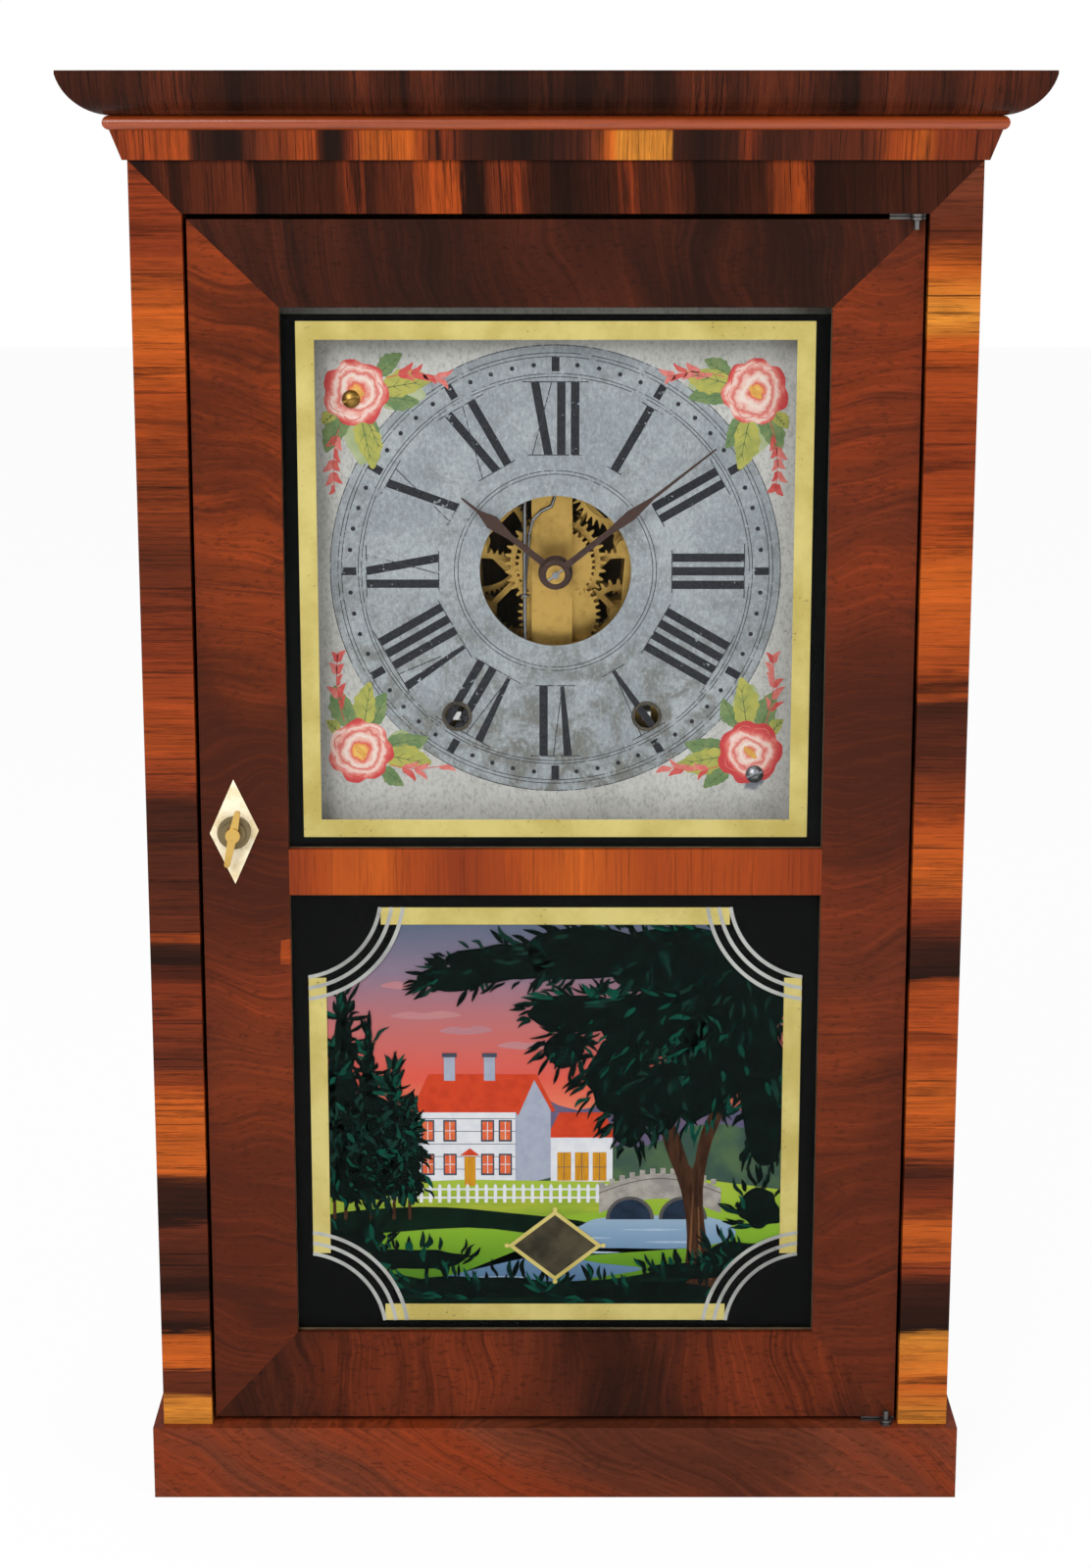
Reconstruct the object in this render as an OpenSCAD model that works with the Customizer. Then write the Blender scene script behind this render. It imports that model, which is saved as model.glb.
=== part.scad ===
// Shelf clock with a bevelled door, a cornice and a weight-driven striking movement.
// Millimetres. +Z is up and the front faces -Y. The origin is the centre of the clock's
// bounding box, on the surface it stands on. Depths named y_... count from the front face
// of the case, and heights and widths in the movement count from the centre of the dial.

/* [Case] */
// Width of the case across the front stiles
case_w = 356; // [330:1:400]
// Height over all, from the shelf to the top of the cornice
case_h = 635; // [620:1:660]
// Depth from the front face of the stiles to the back
case_depth = 112; // [110:1:130]
// Thickness of the side, top and bottom boards
board_t = 12; // [10:0.5:12]
// Thickness of the backboard
back_t = 6; // [4:0.5:7]
// Width of a front stile and of the frieze rail
stile_w = 22; // [20:0.5:24]
// Thickness of the front stiles and the frieze rail
stile_t = 18; // [14:0.5:19]
// Height of the plinth
plinth_h = 34; // [30:1:40]
// How far the plinth stands out from the case
plinth_out = 4.5; // [3:0.5:8]
// Thickness of the plinth's boards
plinth_t = 18.5; // [17:0.5:22]

/* [Cornice] */
// Height of the canted fascia above the frieze
fascia_h = 12.3; // [8:0.1:16]
// How far the canted fascia stands out at its foot
fascia_foot = 2; // [1:0.1:4]
// How far the canted fascia stands out at its top
fascia_top = 6.3; // [5:0.1:8]
// Height of the half-round bead
bead_h = 6; // [4:0.1:8]
// How far the nose of the bead stands out
bead_out = 8.9; // [8:0.1:11]
// Height of the cornice moulding
cornice_h = 18; // [14:0.1:24]
// How far the cornice stands out at its foot
cornice_foot = 7.3; // [6:0.1:9]
// How far the tip of the cornice stands out
cornice_out = 25.4; // [20:0.1:32]
// Radius of the cornice's rounded underside
cornice_r = 22; // [18:0.5:40]
// Height of the upright edge at the tip
cornice_edge = 1.5; // [1:0.1:3]

/* [Door] */
// Gap between the door and the stile on each side
door_gap = 1.5; // [1.2:0.1:3]
// Gap above and below the door, which holds the hinge plates
door_end_gap = 2.4; // [2.2:0.1:4]
// How far the door's outer edge lies behind the case's face
door_set = 3; // [2:0.1:4]
// Thickness of the door frame
door_t = 18; // [16:0.5:20]
// Width of the bevelled door frame
frame_w = 37.2; // [30:0.1:42]
// How far the bevel falls back from the outer edge to the opening
bevel_fall = 9; // [4:0.1:10]
// Thickness of the lip that stands in front of the glass
lip_t = 3.2; // [2:0.1:4]
// Width of the rebate that holds the glass
rebate_w = 4; // [2:0.1:6]
// Thickness of both glasses
glass_t = 2; // [1.5:0.1:2.5]
// Height of the cross rail
cross_h = 20.7; // [14:0.1:26]
// Distance from the top of the cornice down to the middle of the cross rail
cross_down = 344.8; // [343:0.1:355]

/* [Latch] */
// Height of the latch above the door's middle
latch_up = 4.65; // [-10:0.05:25]
// Distance of the latch from the door's edge
latch_in = 14; // [13:0.5:16]
// Length of the inlaid diamond
diamond_h = 47; // [30:1:60]
// Width of the inlaid diamond
diamond_w = 21; // [18:1:25]
// Radius of the brass rose
rose_r = 7.2; // [6:0.1:8]
// Radius of the latch's spindle
spindle_r = 2.2; // [1.5:0.1:3]
// Length of the turn lever
lever_l = 23; // [16:0.5:28]
// Reach of the tongue behind the stile
tongue_l = 21; // [20:0.5:22]
// Tilt of the lever from upright
lever_tilt = 12; // [0:1:30]

/* [Hinges] */
// Radius of the hinge pins
pin_r = 1.3; // [1:0.1:1.6]
// Distance of the pin from the door's edge
pin_in = 4; // [3.5:0.1:6]
// Radius of the eye round the pin
eye_r = 2.7; // [2.2:0.1:2.8]
// Thickness of a hinge plate
plate_hinge_t = 1; // [0.6:0.1:1]
// Length of a hinge plate
hinge_l = 15; // [10:0.5:20]
// Length of the pin beyond its plate
hinge_pin_l = 5.5; // [4:0.5:8]

/* [Dial] */
// Distance from the top of the cornice down to the dial's centre
dial_down = 214; // [211:1:216]
// Width of the dial plate
dial_w = 280; // [250:1:300]
// Height of the dial plate
dial_h = 248; // [244:1:250]
// Thickness of the dial plate
dial_t = 1.4; // [0.8:0.1:2]
// Depth of the dial's face behind the case's face
y_dial = 33; // [31:0.5:33.5]
// Radius of the opening in the middle of the dial
dial_hole_r = 33.2; // [25:0.1:38]
// Radius of a winding hole's grommet
grommet_r = 6.7; // [6:0.1:8]
// Radius of the hole in a grommet
grommet_hole_r = 5.2; // [4.5:0.1:5.4]
// Distance of a dial screw from the dial's centre, sideways
screw_x = 88.5; // [86:0.5:95]
// Distance of the upper dial screw above the dial's centre
screw_up = 75.3; // [70:0.1:90]
// Distance of the lower dial screw below the dial's centre
screw_down = 91; // [88:0.1:100]
// Radius of a dial screw's round head
screw_r = 3.9; // [3:0.1:5]
// Height of a dial cleat
cleat_h = 12; // [9:0.5:16]

/* [Hands] */
// Length of the minute hand
minute_l = 88.3; // [70:0.1:95]
// Length of the hour hand
hour_l = 52.3; // [45:0.1:60]
// Angle of the minute hand from twelve
minute_angle = 51.9; // [0:0.1:360]
// Angle of the hour hand from twelve
hour_angle = 308.6; // [0:0.1:360]
// Radius of the hands' hubs
hand_hub_r = 7.5; // [6:0.1:10]
// Thickness of the hands
hand_t = 1; // [0.6:0.1:1.4]

/* [Movement] */
// Depth of the front plate's face behind the case's face
y_front = 46; // [46:0.1:47]
// Thickness of the movement plates
plate_t = 2; // [1.6:0.1:2]
// Distance between the plates
plate_space = 34; // [34:0.1:36]
// Width of the straps that the plates are made of
strap_w = 18; // [16:0.5:19]
// How far the middle strap stands left of the hands
strap_left = 1.5; // [0:0.1:2]
// Width of the side straps
side_w = 9; // [7:0.5:11]
// How far the side straps stand outside their pivots
side_out = 5; // [4:0.5:6]
// Distance of the hammer's arbor from the middle, to the left
hammer_out = 47; // [45:0.5:48]
// Distance of the escape wheel's cock foot from the wheel, sideways
cock_right = 18; // [16:0.5:20]
// Distance of the escape wheel's cock foot above the wheel
cock_up = 12; // [11:0.5:13]
// Half the length of the battens that carry the movement
batten_half = 38; // [30:0.5:40]
// Radius of the centre arbor
centre_r = 1.5; // [1.2:0.05:1.6]
// Radius of the train's arbors
arbor_r = 1.25; // [1:0.05:1.4]
// Radius of the pivots
pivot_r = 0.7; // [0.5:0.05:0.8]
// Radius of the winding arbors
wind_r = 2.5; // [2.2:0.1:3]
// Width of a winding square
square_w = 3.6; // [3:0.1:4]
// Radius of a pillar
pillar_r = 3; // [2.5:0.1:3.2]
// Radial play of a turning fit
fit = 0.06; // [0.03:0.01:0.08]

/* [Wheels] */
// Module of the great wheels
m_great = 1; // [0.98:0.01:1.02]
// Module of the centre wheel and the wheel that drives it
m_centre = 1.2; // [1.18:0.01:1.22]
// Module of the second wheels
m_second = 0.85; // [0.84:0.01:0.86]
// Module of the third wheels
m_third = 0.75; // [0.74:0.01:0.76]
// Distance of the minute wheel's stud from the centre
motion_d = 22.5; // [22.3:0.1:22.7]
// Thickness of the train's wheels
wheel_t = 1.5; // [1.2:0.1:1.6]
// Radius of the wires in the lantern pinions
trundle_r = 0.45; // [0.4:0.01:0.5]
// Play between the two great wheels
great_gap = 2.1; // [1:0.1:4]
// Sideways shift of the strike train from the mirrored time train
strike_shift = 3.1; // [2.5:0.1:4]
// Radius of the escape wheel
escape_r = 17; // [16:0.1:17.2]

/* [Pendulum] */
// Length from the suspension to the middle of the bob
pendulum_l = 341; // [320:1:350]
// Sideways place of the suspension
pendulum_x = -13.5; // [-14:0.1:-13]
// Height of the suspension above the dial's centre
pendulum_z = 56; // [55:0.1:57]
// Radius of the bob
bob_r = 25; // [20:0.5:28]
// Thickness of the bob
bob_t = 9; // [6:0.1:9.5]
// Radius of the pendulum's wire
rod_r = 0.8; // [0.6:0.05:0.9]

/* [Weights] */
// Radius of a weight
weight_r = 23; // [18:0.5:23]
// Height of a weight's body
weight_h = 150; // [120:1:160]
// Radius of a cord
cord_r = 0.8; // [0.5:0.05:1]
// Radius of a drum
drum_r = 10; // [8:0.1:10.5]
// Radius of the groove of a top pulley
groove_r = 11; // [10:0.1:12]
// Distance from the underside of the top board down to the pulleys' axles
pulley_down = 32.7; // [30:0.1:38]
// Play between a weight and the case's side
weight_gap = 5; // [4:0.1:6]
// Play between the cord and what it runs on
cord_gap = 0.2; // [0.1:0.05:0.3]

/* [Gong] */
// Distance from the dial's centre down to the gong's centre
gong_down = 196; // [190:1:200]
// Radius of the gong's outer turn
gong_r = 44; // [40:0.5:46]
// Number of turns of the gong
gong_turns = 5; // [3:1:6]
// Distance from turn to turn
gong_pitch = 5.4; // [4:0.1:5.6]
// Radius of the gong's wire
gong_wire_r = 1.2; // [0.8:0.1:1.5]

/* [Hidden] */
$fn = 48;
eps = 0.01;

// Case
half_w = case_w / 2;
front_y = (cornice_out - case_depth) / 2;
y_back = case_depth - back_t;
inner_w = half_w - board_t;
body_top = case_h - cornice_h - bead_h - fascia_h;
top_under = body_top;
bead_z = body_top + fascia_h;
cornice_z = bead_z + bead_h;
across = 2 * (half_w + cornice_out);
stile_in = half_w - stile_w;
frieze_z = body_top - stile_w;

// Door
door_x = stile_in - door_gap;
door_z0 = plinth_h + door_end_gap;
door_z1 = frieze_z - door_end_gap;
y_door = door_set;
y_door_back = door_set + door_t;
y_lip = door_set + bevel_fall;
y_glass = y_lip + lip_t;
open_x = door_x - frame_w;
open_z0 = door_z0 + frame_w;
open_z1 = door_z1 - frame_w;
cross_z0 = case_h - cross_down - cross_h / 2;
cross_z1 = cross_z0 + cross_h;
glass_play = 0.3;
seat = rebate_w - glass_play;
bevel_slope = bevel_fall / frame_w;

// Latch
latch_x = -(door_x - latch_in);
latch_z = (door_z0 + door_z1) / 2 + latch_up;
inlay_t = 1;
inlay_proud = 0.15;
y_latch_face = y_door + (latch_in + rose_r) * bevel_slope;
y_rose = y_door + (latch_in - rose_r) * bevel_slope - 1.2;
lever_t = 2.6;
tongue_w = 6;
tongue_t = 2;
y_tongue = y_door_back + 0.6;

// Hinges: the pin stands at the front corner of the door, in front of its face
hinge_x = door_x - pin_in;
hinge_w = 11;

// Dial
dial_z = case_h - dial_down;
y_dial_back = y_dial + dial_t;
y_cleat_back = y_front - 4;

// Movement layout: [sideways, up] from the dial's centre
y_rear = y_front + plate_t + plate_space;
y_in = y_front + plate_t;
shake = 0.4;
great_teeth = 80;
leaves = 8;
mid_teeth = 64;
drive_teeth = 24;
centre_teeth = 36;
cannon_teeth = 10;
minute_teeth = 36;
minute_leaves = 12;
hour_teeth = 40;
escape_teeth = 32;
m_cannon = 2 * motion_d / (cannon_teeth + minute_teeth);
m_hour = 2 * motion_d / (minute_leaves + hour_teeth);
addendum = 0.9;
dedendum = 1.2;

function polar(r, a) = [r * cos(a), r * sin(a)];
function bearing(p, q) = atan2(q[1] - p[1], q[0] - p[0]);
function mirrored(p) = [-p[0] - strike_shift, p[1]];
function pitch_r(teeth, m) = teeth * m / 2;
// Angle of a tooth of the driven wheel that is in mesh with a wheel whose tooth lies at phase
function meshed(teeth, phase, line, driven) =
    line + 180 - (0.5 - (line - phase) * teeth / 360) * 360 / driven;

centre = [0, 0];
great_tip = pitch_r(great_teeth, m_great) + addendum * m_great;
second_at = polar(pitch_r(drive_teeth + centre_teeth, m_centre), -38.7);
great_d = pitch_r(great_teeth + leaves, m_great);
great_x = great_tip + (great_gap - strike_shift) / 2;
great_turn = -acos((great_x - second_at[0]) / great_d);
great_at = second_at + polar(great_d, great_turn);
third_at = second_at + polar(pitch_r(mid_teeth + leaves, m_second), 84.4);
escape_at = third_at + polar(pitch_r(mid_teeth + leaves, m_third), 105.3);
minute_at = polar(motion_d, -85.5);
verge_at = escape_at + polar(escape_r + 6.2, 141);
hang_at = [pendulum_x, pendulum_z];
hammer_at = [-hammer_out, escape_at[1] + 2];
strike_great_at = mirrored(great_at);
strike_second_at = mirrored(second_at);
strike_third_at = mirrored(third_at);
fly_at = mirrored(escape_at);

// Depths of the wheels between the plates, from the inside of the front plate
y_hour_wheel = y_in + 1;
y_minute_wheel = y_in + 4;
y_centre_wheel = y_in + 8.4;
y_second_wheel = y_in + 14;
y_third_pinion = y_in + 11.9;
y_third_wheel = y_in + 21;
y_last_pinion = y_in + 19;
y_second_pinion = y_in + 24.6;
y_great = y_in + 26;
great_t = 2;
lantern_l = 5.6;
y_drum = y_in + 4;
drum_l = 20;
y_escape = y_front - 4;
y_pendulum = y_front - 5;
y_cock = y_front - 8;

// Pillars of the movement: [sideways, up]
pillar_low = [78, -39];
pillar_high = [60, 57];
pillar_mid = [-strike_shift / 2, -46];
PILLARS = [pillar_low, mirrored(pillar_low), pillar_high, [-pillar_high[0], pillar_high[1]],
    pillar_mid];

// Cords
y_cord = y_drum + drum_l - 5.5;
drum_line = drum_r + cord_r + cord_gap;
pulley_line = groove_r + cord_r + cord_gap;
pulley_flange = groove_r + 3;
weight_x = inner_w - weight_gap - weight_r;
pulley_x = weight_x - pulley_line;
pulley_z = body_top - pulley_down;
weight_z = plinth_h + 1;
weight_eye_z = weight_z + weight_h + 9;

// Gong
gong_z = dial_z - gong_down;
y_gong = (y_rear + plate_t + y_back) / 2;
gong_post_r = 7;

// ---------- helpers ----------

module placed() {
    translate([0, front_y, 0]) children();
}

// Extrudes a flat shape drawn in X and Z between two depths
module slab(y0, y1) {
    translate([0, y1, 0]) rotate([90, 0, 0]) linear_extrude(y1 - y0) children();
}

module rod(y0, y1, r) {
    translate([0, y1, 0]) rotate([90, 0, 0]) cylinder(h = y1 - y0, r = r);
}

// A round bar from one point to another
module bar(p, q, r) {
    d = q - p;
    l = norm(d);
    translate(p) rotate([0, acos(d[2] / l), atan2(d[1], d[0])]) cylinder(h = l, r = r);
}

module block(x0, x1, y0, y1, z0, z1) {
    translate([x0, y0, z0]) cube([x1 - x0, y1 - y0, z1 - z0]);
}

module from_dial() {
    translate([0, front_y, dial_z]) children();
}

module at(p) {
    translate([p[0], 0, p[1]]) children();
}

module both_sides() {
    children();
    mirror([1, 0, 0]) children();
}

// ---------- case ----------

// The run of a moulding section along the right side
module side_run(out) {
    translate([half_w, case_depth, 0]) rotate([90, 0, 0])
        linear_extrude(case_depth + out) children();
}

// Runs a moulding section round the front and both sides and fills what lies between. The
// section is drawn as [distance out from the case, height], and reaches inward by "across".
module round_the_front(out) {
    intersection() {
        translate([-half_w - out, 0, 0]) rotate([90, 0, 90])
            linear_extrude(2 * (half_w + out)) mirror([1, 0, 0]) children();
        side_run(out) children();
        mirror([1, 0, 0]) side_run(out) children();
    }
}

module backboard() {
    color("burlywood") placed() {
        block(-half_w, half_w, y_back, case_depth, plinth_h, bead_z);
        // Two battens that carry the movement
        for (z = [dial_z + pillar_high[1] - 1, dial_z + great_at[1] - 3])
            block(-batten_half, batten_half, y_rear + plate_t, y_back, z - 6, z + 6);
    }
}

module case_sides() {
    color("saddlebrown") placed() both_sides()
        block(inner_w, half_w, stile_t, y_back, plinth_h, body_top);
}

module top_board() {
    color("peru") placed() block(-half_w, half_w, 0, y_back, body_top, bead_z);
}

module bottom_board() {
    w = half_w + plinth_out - plinth_t;
    color("burlywood") placed()
        block(-w, w, plinth_t - plinth_out, y_back - board_t, plinth_h - board_t, plinth_h);
}

module front_stiles() {
    color("sienna") placed() both_sides() slab(0, stile_t)
        polygon([[stile_in, plinth_h], [half_w, plinth_h], [half_w, body_top], [stile_in, frieze_z]]);
}

module frieze_rail() {
    color("saddlebrown") placed() slab(0, stile_t)
        polygon([[-half_w, body_top], [half_w, body_top], [stile_in, frieze_z], [-stile_in, frieze_z]]);
}

// It only clads the case, so what lies behind it is cut away
module canted_fascia() {
    color("sienna") placed() difference() {
        round_the_front(fascia_top + 1)
            polygon([[-across, body_top], [fascia_foot, body_top], [fascia_top, bead_z], [-across, bead_z]]);
        block(-half_w, half_w, 0, case_depth + 1, body_top - 1, bead_z + 1);
    }
}

module bead() {
    nose = bead_out - bead_h / 2;
    color("brown") placed() round_the_front(bead_out + 1) {
        polygon([[-across, bead_z], [nose, bead_z], [nose, cornice_z], [-across, cornice_z]]);
        translate([nose, bead_z + bead_h / 2]) circle(r = bead_h / 2);
    }
}

// The cornice's underside is one arc from its foot to its tip
module cornice() {
    foot = [cornice_foot, cornice_z];
    tip = [cornice_out, case_h - cornice_edge];
    chord = norm(tip - foot);
    lean = bearing(foot, tip);
    arc_c = (foot + tip) / 2 + polar(sqrt(pow(max(cornice_r, chord / 2), 2) - pow(chord / 2, 2)), lean + 90);
    a0 = bearing(arc_c, foot);
    a1 = bearing(arc_c, tip);
    steps = 12;
    arc = [for (i = [0:steps]) arc_c + polar(max(cornice_r, chord / 2), a0 + (a1 - a0) * i / steps)];
    color("maroon") placed() round_the_front(cornice_out + 1)
        polygon(concat([[-across, cornice_z]], arc, [[cornice_out, case_h], [-across, case_h]]));
}

module plinth() {
    w = half_w + plinth_out;
    color("brown") placed() difference() {
        block(-w, w, -plinth_out, case_depth, 0, plinth_h);
        block(plinth_t - w, w - plinth_t, plinth_t - plinth_out, y_back - board_t, -1, plinth_h + 1);
    }
}

// ---------- hinges ----------

// One hinge plate with its eye at the origin, lying flat
module hinge_plate(hole_r) {
    difference() {
        union() {
            cylinder(h = plate_hinge_t, r = eye_r);
            translate([-hinge_l + pin_in, door_set, 0]) cube([hinge_l, hinge_w, plate_hinge_t]);
            translate([-eye_r, 0, 0]) cube([2 * eye_r, door_set + 1, plate_hinge_t]);
        }
        translate([0, 0, -1]) cylinder(h = plate_hinge_t + 2, r = hole_r);
    }
}

// Plates on the case, each with the pin that its door plate turns on
module hinge_plates() {
    color("dimgray") placed() {
        translate([hinge_x, 0, frieze_z - plate_hinge_t]) {
            hinge_plate(pin_r - 0.2);
            translate([0, 0, -hinge_pin_l]) cylinder(h = hinge_pin_l + plate_hinge_t, r = pin_r);
        }
        translate([hinge_x, 0, plinth_h]) {
            hinge_plate(pin_r - 0.2);
            cylinder(h = hinge_pin_l + plate_hinge_t, r = pin_r);
        }
    }
}

module door_hinges() {
    color("dimgray") placed() {
        translate([hinge_x, 0, door_z1]) hinge_plate(pin_r + fit);
        translate([hinge_x, 0, door_z0 - plate_hinge_t]) hinge_plate(pin_r + fit);
    }
}

// ---------- door ----------

// The frame's section as [distance from the outer edge, depth]: the front falls back as one bevel
FRAME = [[0, y_door], [frame_w, y_lip], [frame_w, y_glass], [frame_w - rebate_w, y_glass],
    [frame_w - rebate_w, y_door_back], [0, y_door_back]];

// An upright run of the frame along the left edge of the door
module upright_run() {
    translate([-door_x, 0, door_z0]) linear_extrude(door_z1 - door_z0) polygon(FRAME);
}

// A level run of the frame along the bottom edge of the door
module level_run() {
    translate([-door_x, 0, door_z0]) rotate([90, 0, 90]) linear_extrude(2 * door_x)
        polygon([for (p = FRAME) [p[1], p[0]]]);
}

// The mitred blank of the left stile, in X and Z
module stile_blank() {
    polygon([[-door_x, door_z0], [-open_x, open_z0], [-open_x, open_z1], [-door_x, door_z1]]);
}

module diamond_blank(grow) {
    polygon([[-diamond_w / 2 - grow, 0], [0, -diamond_h / 2 - grow], [diamond_w / 2 + grow, 0],
        [0, diamond_h / 2 + grow]]);
}

// The wedge between the door's bevel and a plane "deep" behind it
module bevel_layer(proud, deep) {
    translate([-door_x, 0, latch_z - diamond_h]) linear_extrude(2 * diamond_h)
        polygon([[0, y_door - proud], [frame_w, y_lip - proud], [frame_w, y_lip + deep],
            [0, y_door + deep]]);
}

module door_stile_left() {
    color("firebrick") placed() difference() {
        intersection() {
            upright_run();
            slab(0, y_door_back + 1) stile_blank();
        }
        intersection() {
            bevel_layer(1, inlay_t);
            translate([latch_x, 0, latch_z]) slab(0, y_door_back) diamond_blank(0);
        }
        translate([latch_x, 0, latch_z]) rod(-5, y_door_back + 1, spindle_r + fit);
    }
}

module door_stile_right() {
    color("firebrick") placed() mirror([1, 0, 0]) intersection() {
        upright_run();
        slab(0, y_door_back + 1) stile_blank();
    }
}

module bottom_rail() {
    intersection() {
        level_run();
        slab(0, y_door_back + 1)
            polygon([[-door_x, door_z0], [door_x, door_z0], [open_x, open_z0], [-open_x, open_z0]]);
    }
}

module door_rails() {
    color("maroon") placed() {
        bottom_rail();
        translate([0, 0, door_z0 + door_z1]) mirror([0, 0, 1]) bottom_rail();
    }
}

module door_cross_rail() {
    color("chocolate") placed() {
        block(-open_x, open_x, y_lip, y_glass, cross_z0, cross_z1);
        block(-open_x - rebate_w, open_x + rebate_w, y_glass, y_door_back, cross_z0 + rebate_w,
            cross_z1 - rebate_w);
    }
}

module pane(z0, z1) {
    block(-open_x - seat, open_x + seat, y_glass, y_glass + glass_t, z0 - seat, z1 + seat);
}

module upper_glass() {
    color("lightcyan", 0.4) placed() pane(cross_z1, open_z1);
}

module lower_tablet() {
    color("darkslategray") placed() pane(open_z0, cross_z0);
}

// Putty that holds a pane from behind
module putty_frame(z0, z1) {
    difference() {
        block(-open_x - rebate_w, open_x + rebate_w, y_glass + glass_t, y_door_back - 0.3,
            z0 - rebate_w, z1 + rebate_w);
        block(-open_x, open_x, y_glass, y_door_back + 1, z0, z1);
    }
}

module glass_putty() {
    color("tan") placed() {
        putty_frame(cross_z1, open_z1);
        putty_frame(open_z0, cross_z0);
    }
}

// ---------- latch ----------

module escutcheon() {
    color("ivory") placed() difference() {
        intersection() {
            bevel_layer(inlay_proud, inlay_t);
            translate([latch_x, 0, latch_z]) slab(0, y_door_back) diamond_blank(0);
        }
        translate([latch_x, 0, latch_z]) rod(-5, y_door_back, spindle_r + fit);
    }
}

module latch_rose() {
    color("goldenrod") placed() difference() {
        translate([latch_x, 0, latch_z]) {
            rod(y_rose, y_latch_face, rose_r);
            rod(y_rose - 1.5, y_latch_face, rose_r - 2);
        }
        bevel_layer(inlay_proud, door_t);
        translate([latch_x, 0, latch_z]) rod(-5, y_door_back, spindle_r + fit);
    }
}

// Spindle with its lever in front and its tongue behind the door
module latch_turn() {
    y_lever = y_rose - 2 - lever_t;
    color("goldenrod") placed() translate([latch_x, 0, latch_z]) rotate([0, lever_tilt, 0]) {
        rod(y_lever, y_tongue + tongue_t, spindle_r);
        rod(y_lever - 0.8, y_lever + lever_t, spindle_r + 1);
        slab(y_lever, y_lever + lever_t) union() {
            polygon([[-1.3, lever_l * 0.42], [1.3, lever_l * 0.42], [2, 0], [1.3, -lever_l * 0.58],
                [-1.3, -lever_l * 0.58], [-2, 0]]);
            translate([0, lever_l * 0.42]) circle(r = 1.3);
            translate([0, -lever_l * 0.58]) circle(r = 1.3);
        }
        slab(y_tongue, y_tongue + tongue_t) {
            circle(r = tongue_w / 2 + 1);
            translate([-tongue_w / 2, -tongue_l]) square([tongue_w, tongue_l]);
        }
    }
}

// ---------- dial ----------

module dial() {
    color("lightsteelblue") from_dial() slab(y_dial, y_dial_back) difference() {
        square([dial_w, dial_h], center = true);
        circle(r = dial_hole_r);
        for (p = [great_at, strike_great_at]) translate(p) circle(r = grommet_r - 0.7);
        translate([-screw_x, screw_up]) circle(r = 1.6);
        translate([screw_x, -screw_down]) circle(r = 1.6);
    }
}

module dial_cleats() {
    color("burlywood") from_dial() both_sides() difference() {
        for (z = [screw_up, -screw_down])
            block(screw_x - cleat_h / 2, inner_w, y_dial_back, y_cleat_back, z - cleat_h / 2,
                z + cleat_h / 2);
        for (z = [screw_up, -screw_down]) at([screw_x, z]) rod(y_dial, y_cleat_back + 1, 1.6);
    }
}

module dial_screw() {
    difference() {
        union() {
            rod(y_dial - 0.8, y_dial, screw_r);
            intersection() {
                rod(y_dial - 3, y_dial - 0.8, screw_r);
                translate([0, y_dial - 0.8 + 3.2, 0]) sphere(r = norm([3.2, screw_r]));
            }
            rod(y_dial, y_cleat_back - 1, 1.6);
        }
        rotate([0, -20, 0]) translate([-10, y_dial - 4, -0.5]) cube([20, 2.9, 1]);
    }
}

module dial_screws() {
    color("goldenrod") from_dial() {
        at([-screw_x, screw_up]) dial_screw();
        at([screw_x, -screw_down]) dial_screw();
    }
}

module winding_grommets() {
    color("darkgoldenrod") from_dial() for (p = [great_at, strike_great_at]) at(p) difference() {
        union() {
            rod(y_dial - 0.6, y_dial, grommet_r);
            rod(y_dial, y_dial_back + 0.8, grommet_r - 0.7);
        }
        rod(y_dial - 2, y_dial_back + 2, grommet_hole_r);
    }
}

// ---------- hands and motion work ----------

y_minute_hand = y_dial - 8;
y_hour_hand = y_dial - 4;
y_arbor_end = y_dial - 12.6;
pipe_r = centre_r + 1.7;

module centre_arbor() {
    color("slategray") from_dial() difference() {
        union() {
            rod(y_arbor_end, y_rear + plate_t, centre_r);
            slab(y_minute_wheel - 0.6, y_minute_wheel + wheel_t + 0.6)
                cut_gear(cannon_teeth, m_cannon, 0, 0.19);
        }
        translate([0, y_minute_hand - 2.9, 0]) rotate([0, minute_angle, 0])
            cylinder(h = 20, r = 0.55, center = true);
    }
}

module hand_pin() {
    color("silver") from_dial() translate([0, y_minute_hand - 2.9, 0]) rotate([0, minute_angle, 0])
        cylinder(h = 8, r = 0.5, center = true);
}

// A hand's blade, drawn pointing up: it swells to a lozenge and ends in a thin point
module blade(length, swell, foot, half) {
    polygon([[-foot, 0], [-foot * 0.8, length * swell * 0.7], [-half, length * swell],
        [-0.7, length * (swell + 0.14)], [-0.35, length], [0.35, length],
        [0.7, length * (swell + 0.14)], [half, length * swell], [foot * 0.8, length * swell * 0.7],
        [foot, 0]]);
}

module minute_hand() {
    color("#2b1a12") from_dial() rotate([0, minute_angle, 0]) difference() {
        union() {
            slab(y_minute_hand, y_minute_hand + hand_t) {
                circle(r = hand_hub_r - 1.2);
                blade(minute_l, 0.47, 1.5, 2.4);
            }
            rod(y_minute_hand - 1.8, y_minute_hand + hand_t + 1.4, centre_r + 2.6);
        }
        rod(0, y_dial, centre_r);
    }
}

module hour_hand() {
    color("#2b1a12") from_dial() rotate([0, hour_angle, 0]) difference() {
        slab(y_hour_hand, y_hour_hand + hand_t) {
            circle(r = hand_hub_r);
            blade(hour_l, 0.68, 1.6, 3.1);
        }
        rod(0, y_dial + 2, pipe_r);
    }
}

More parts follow.
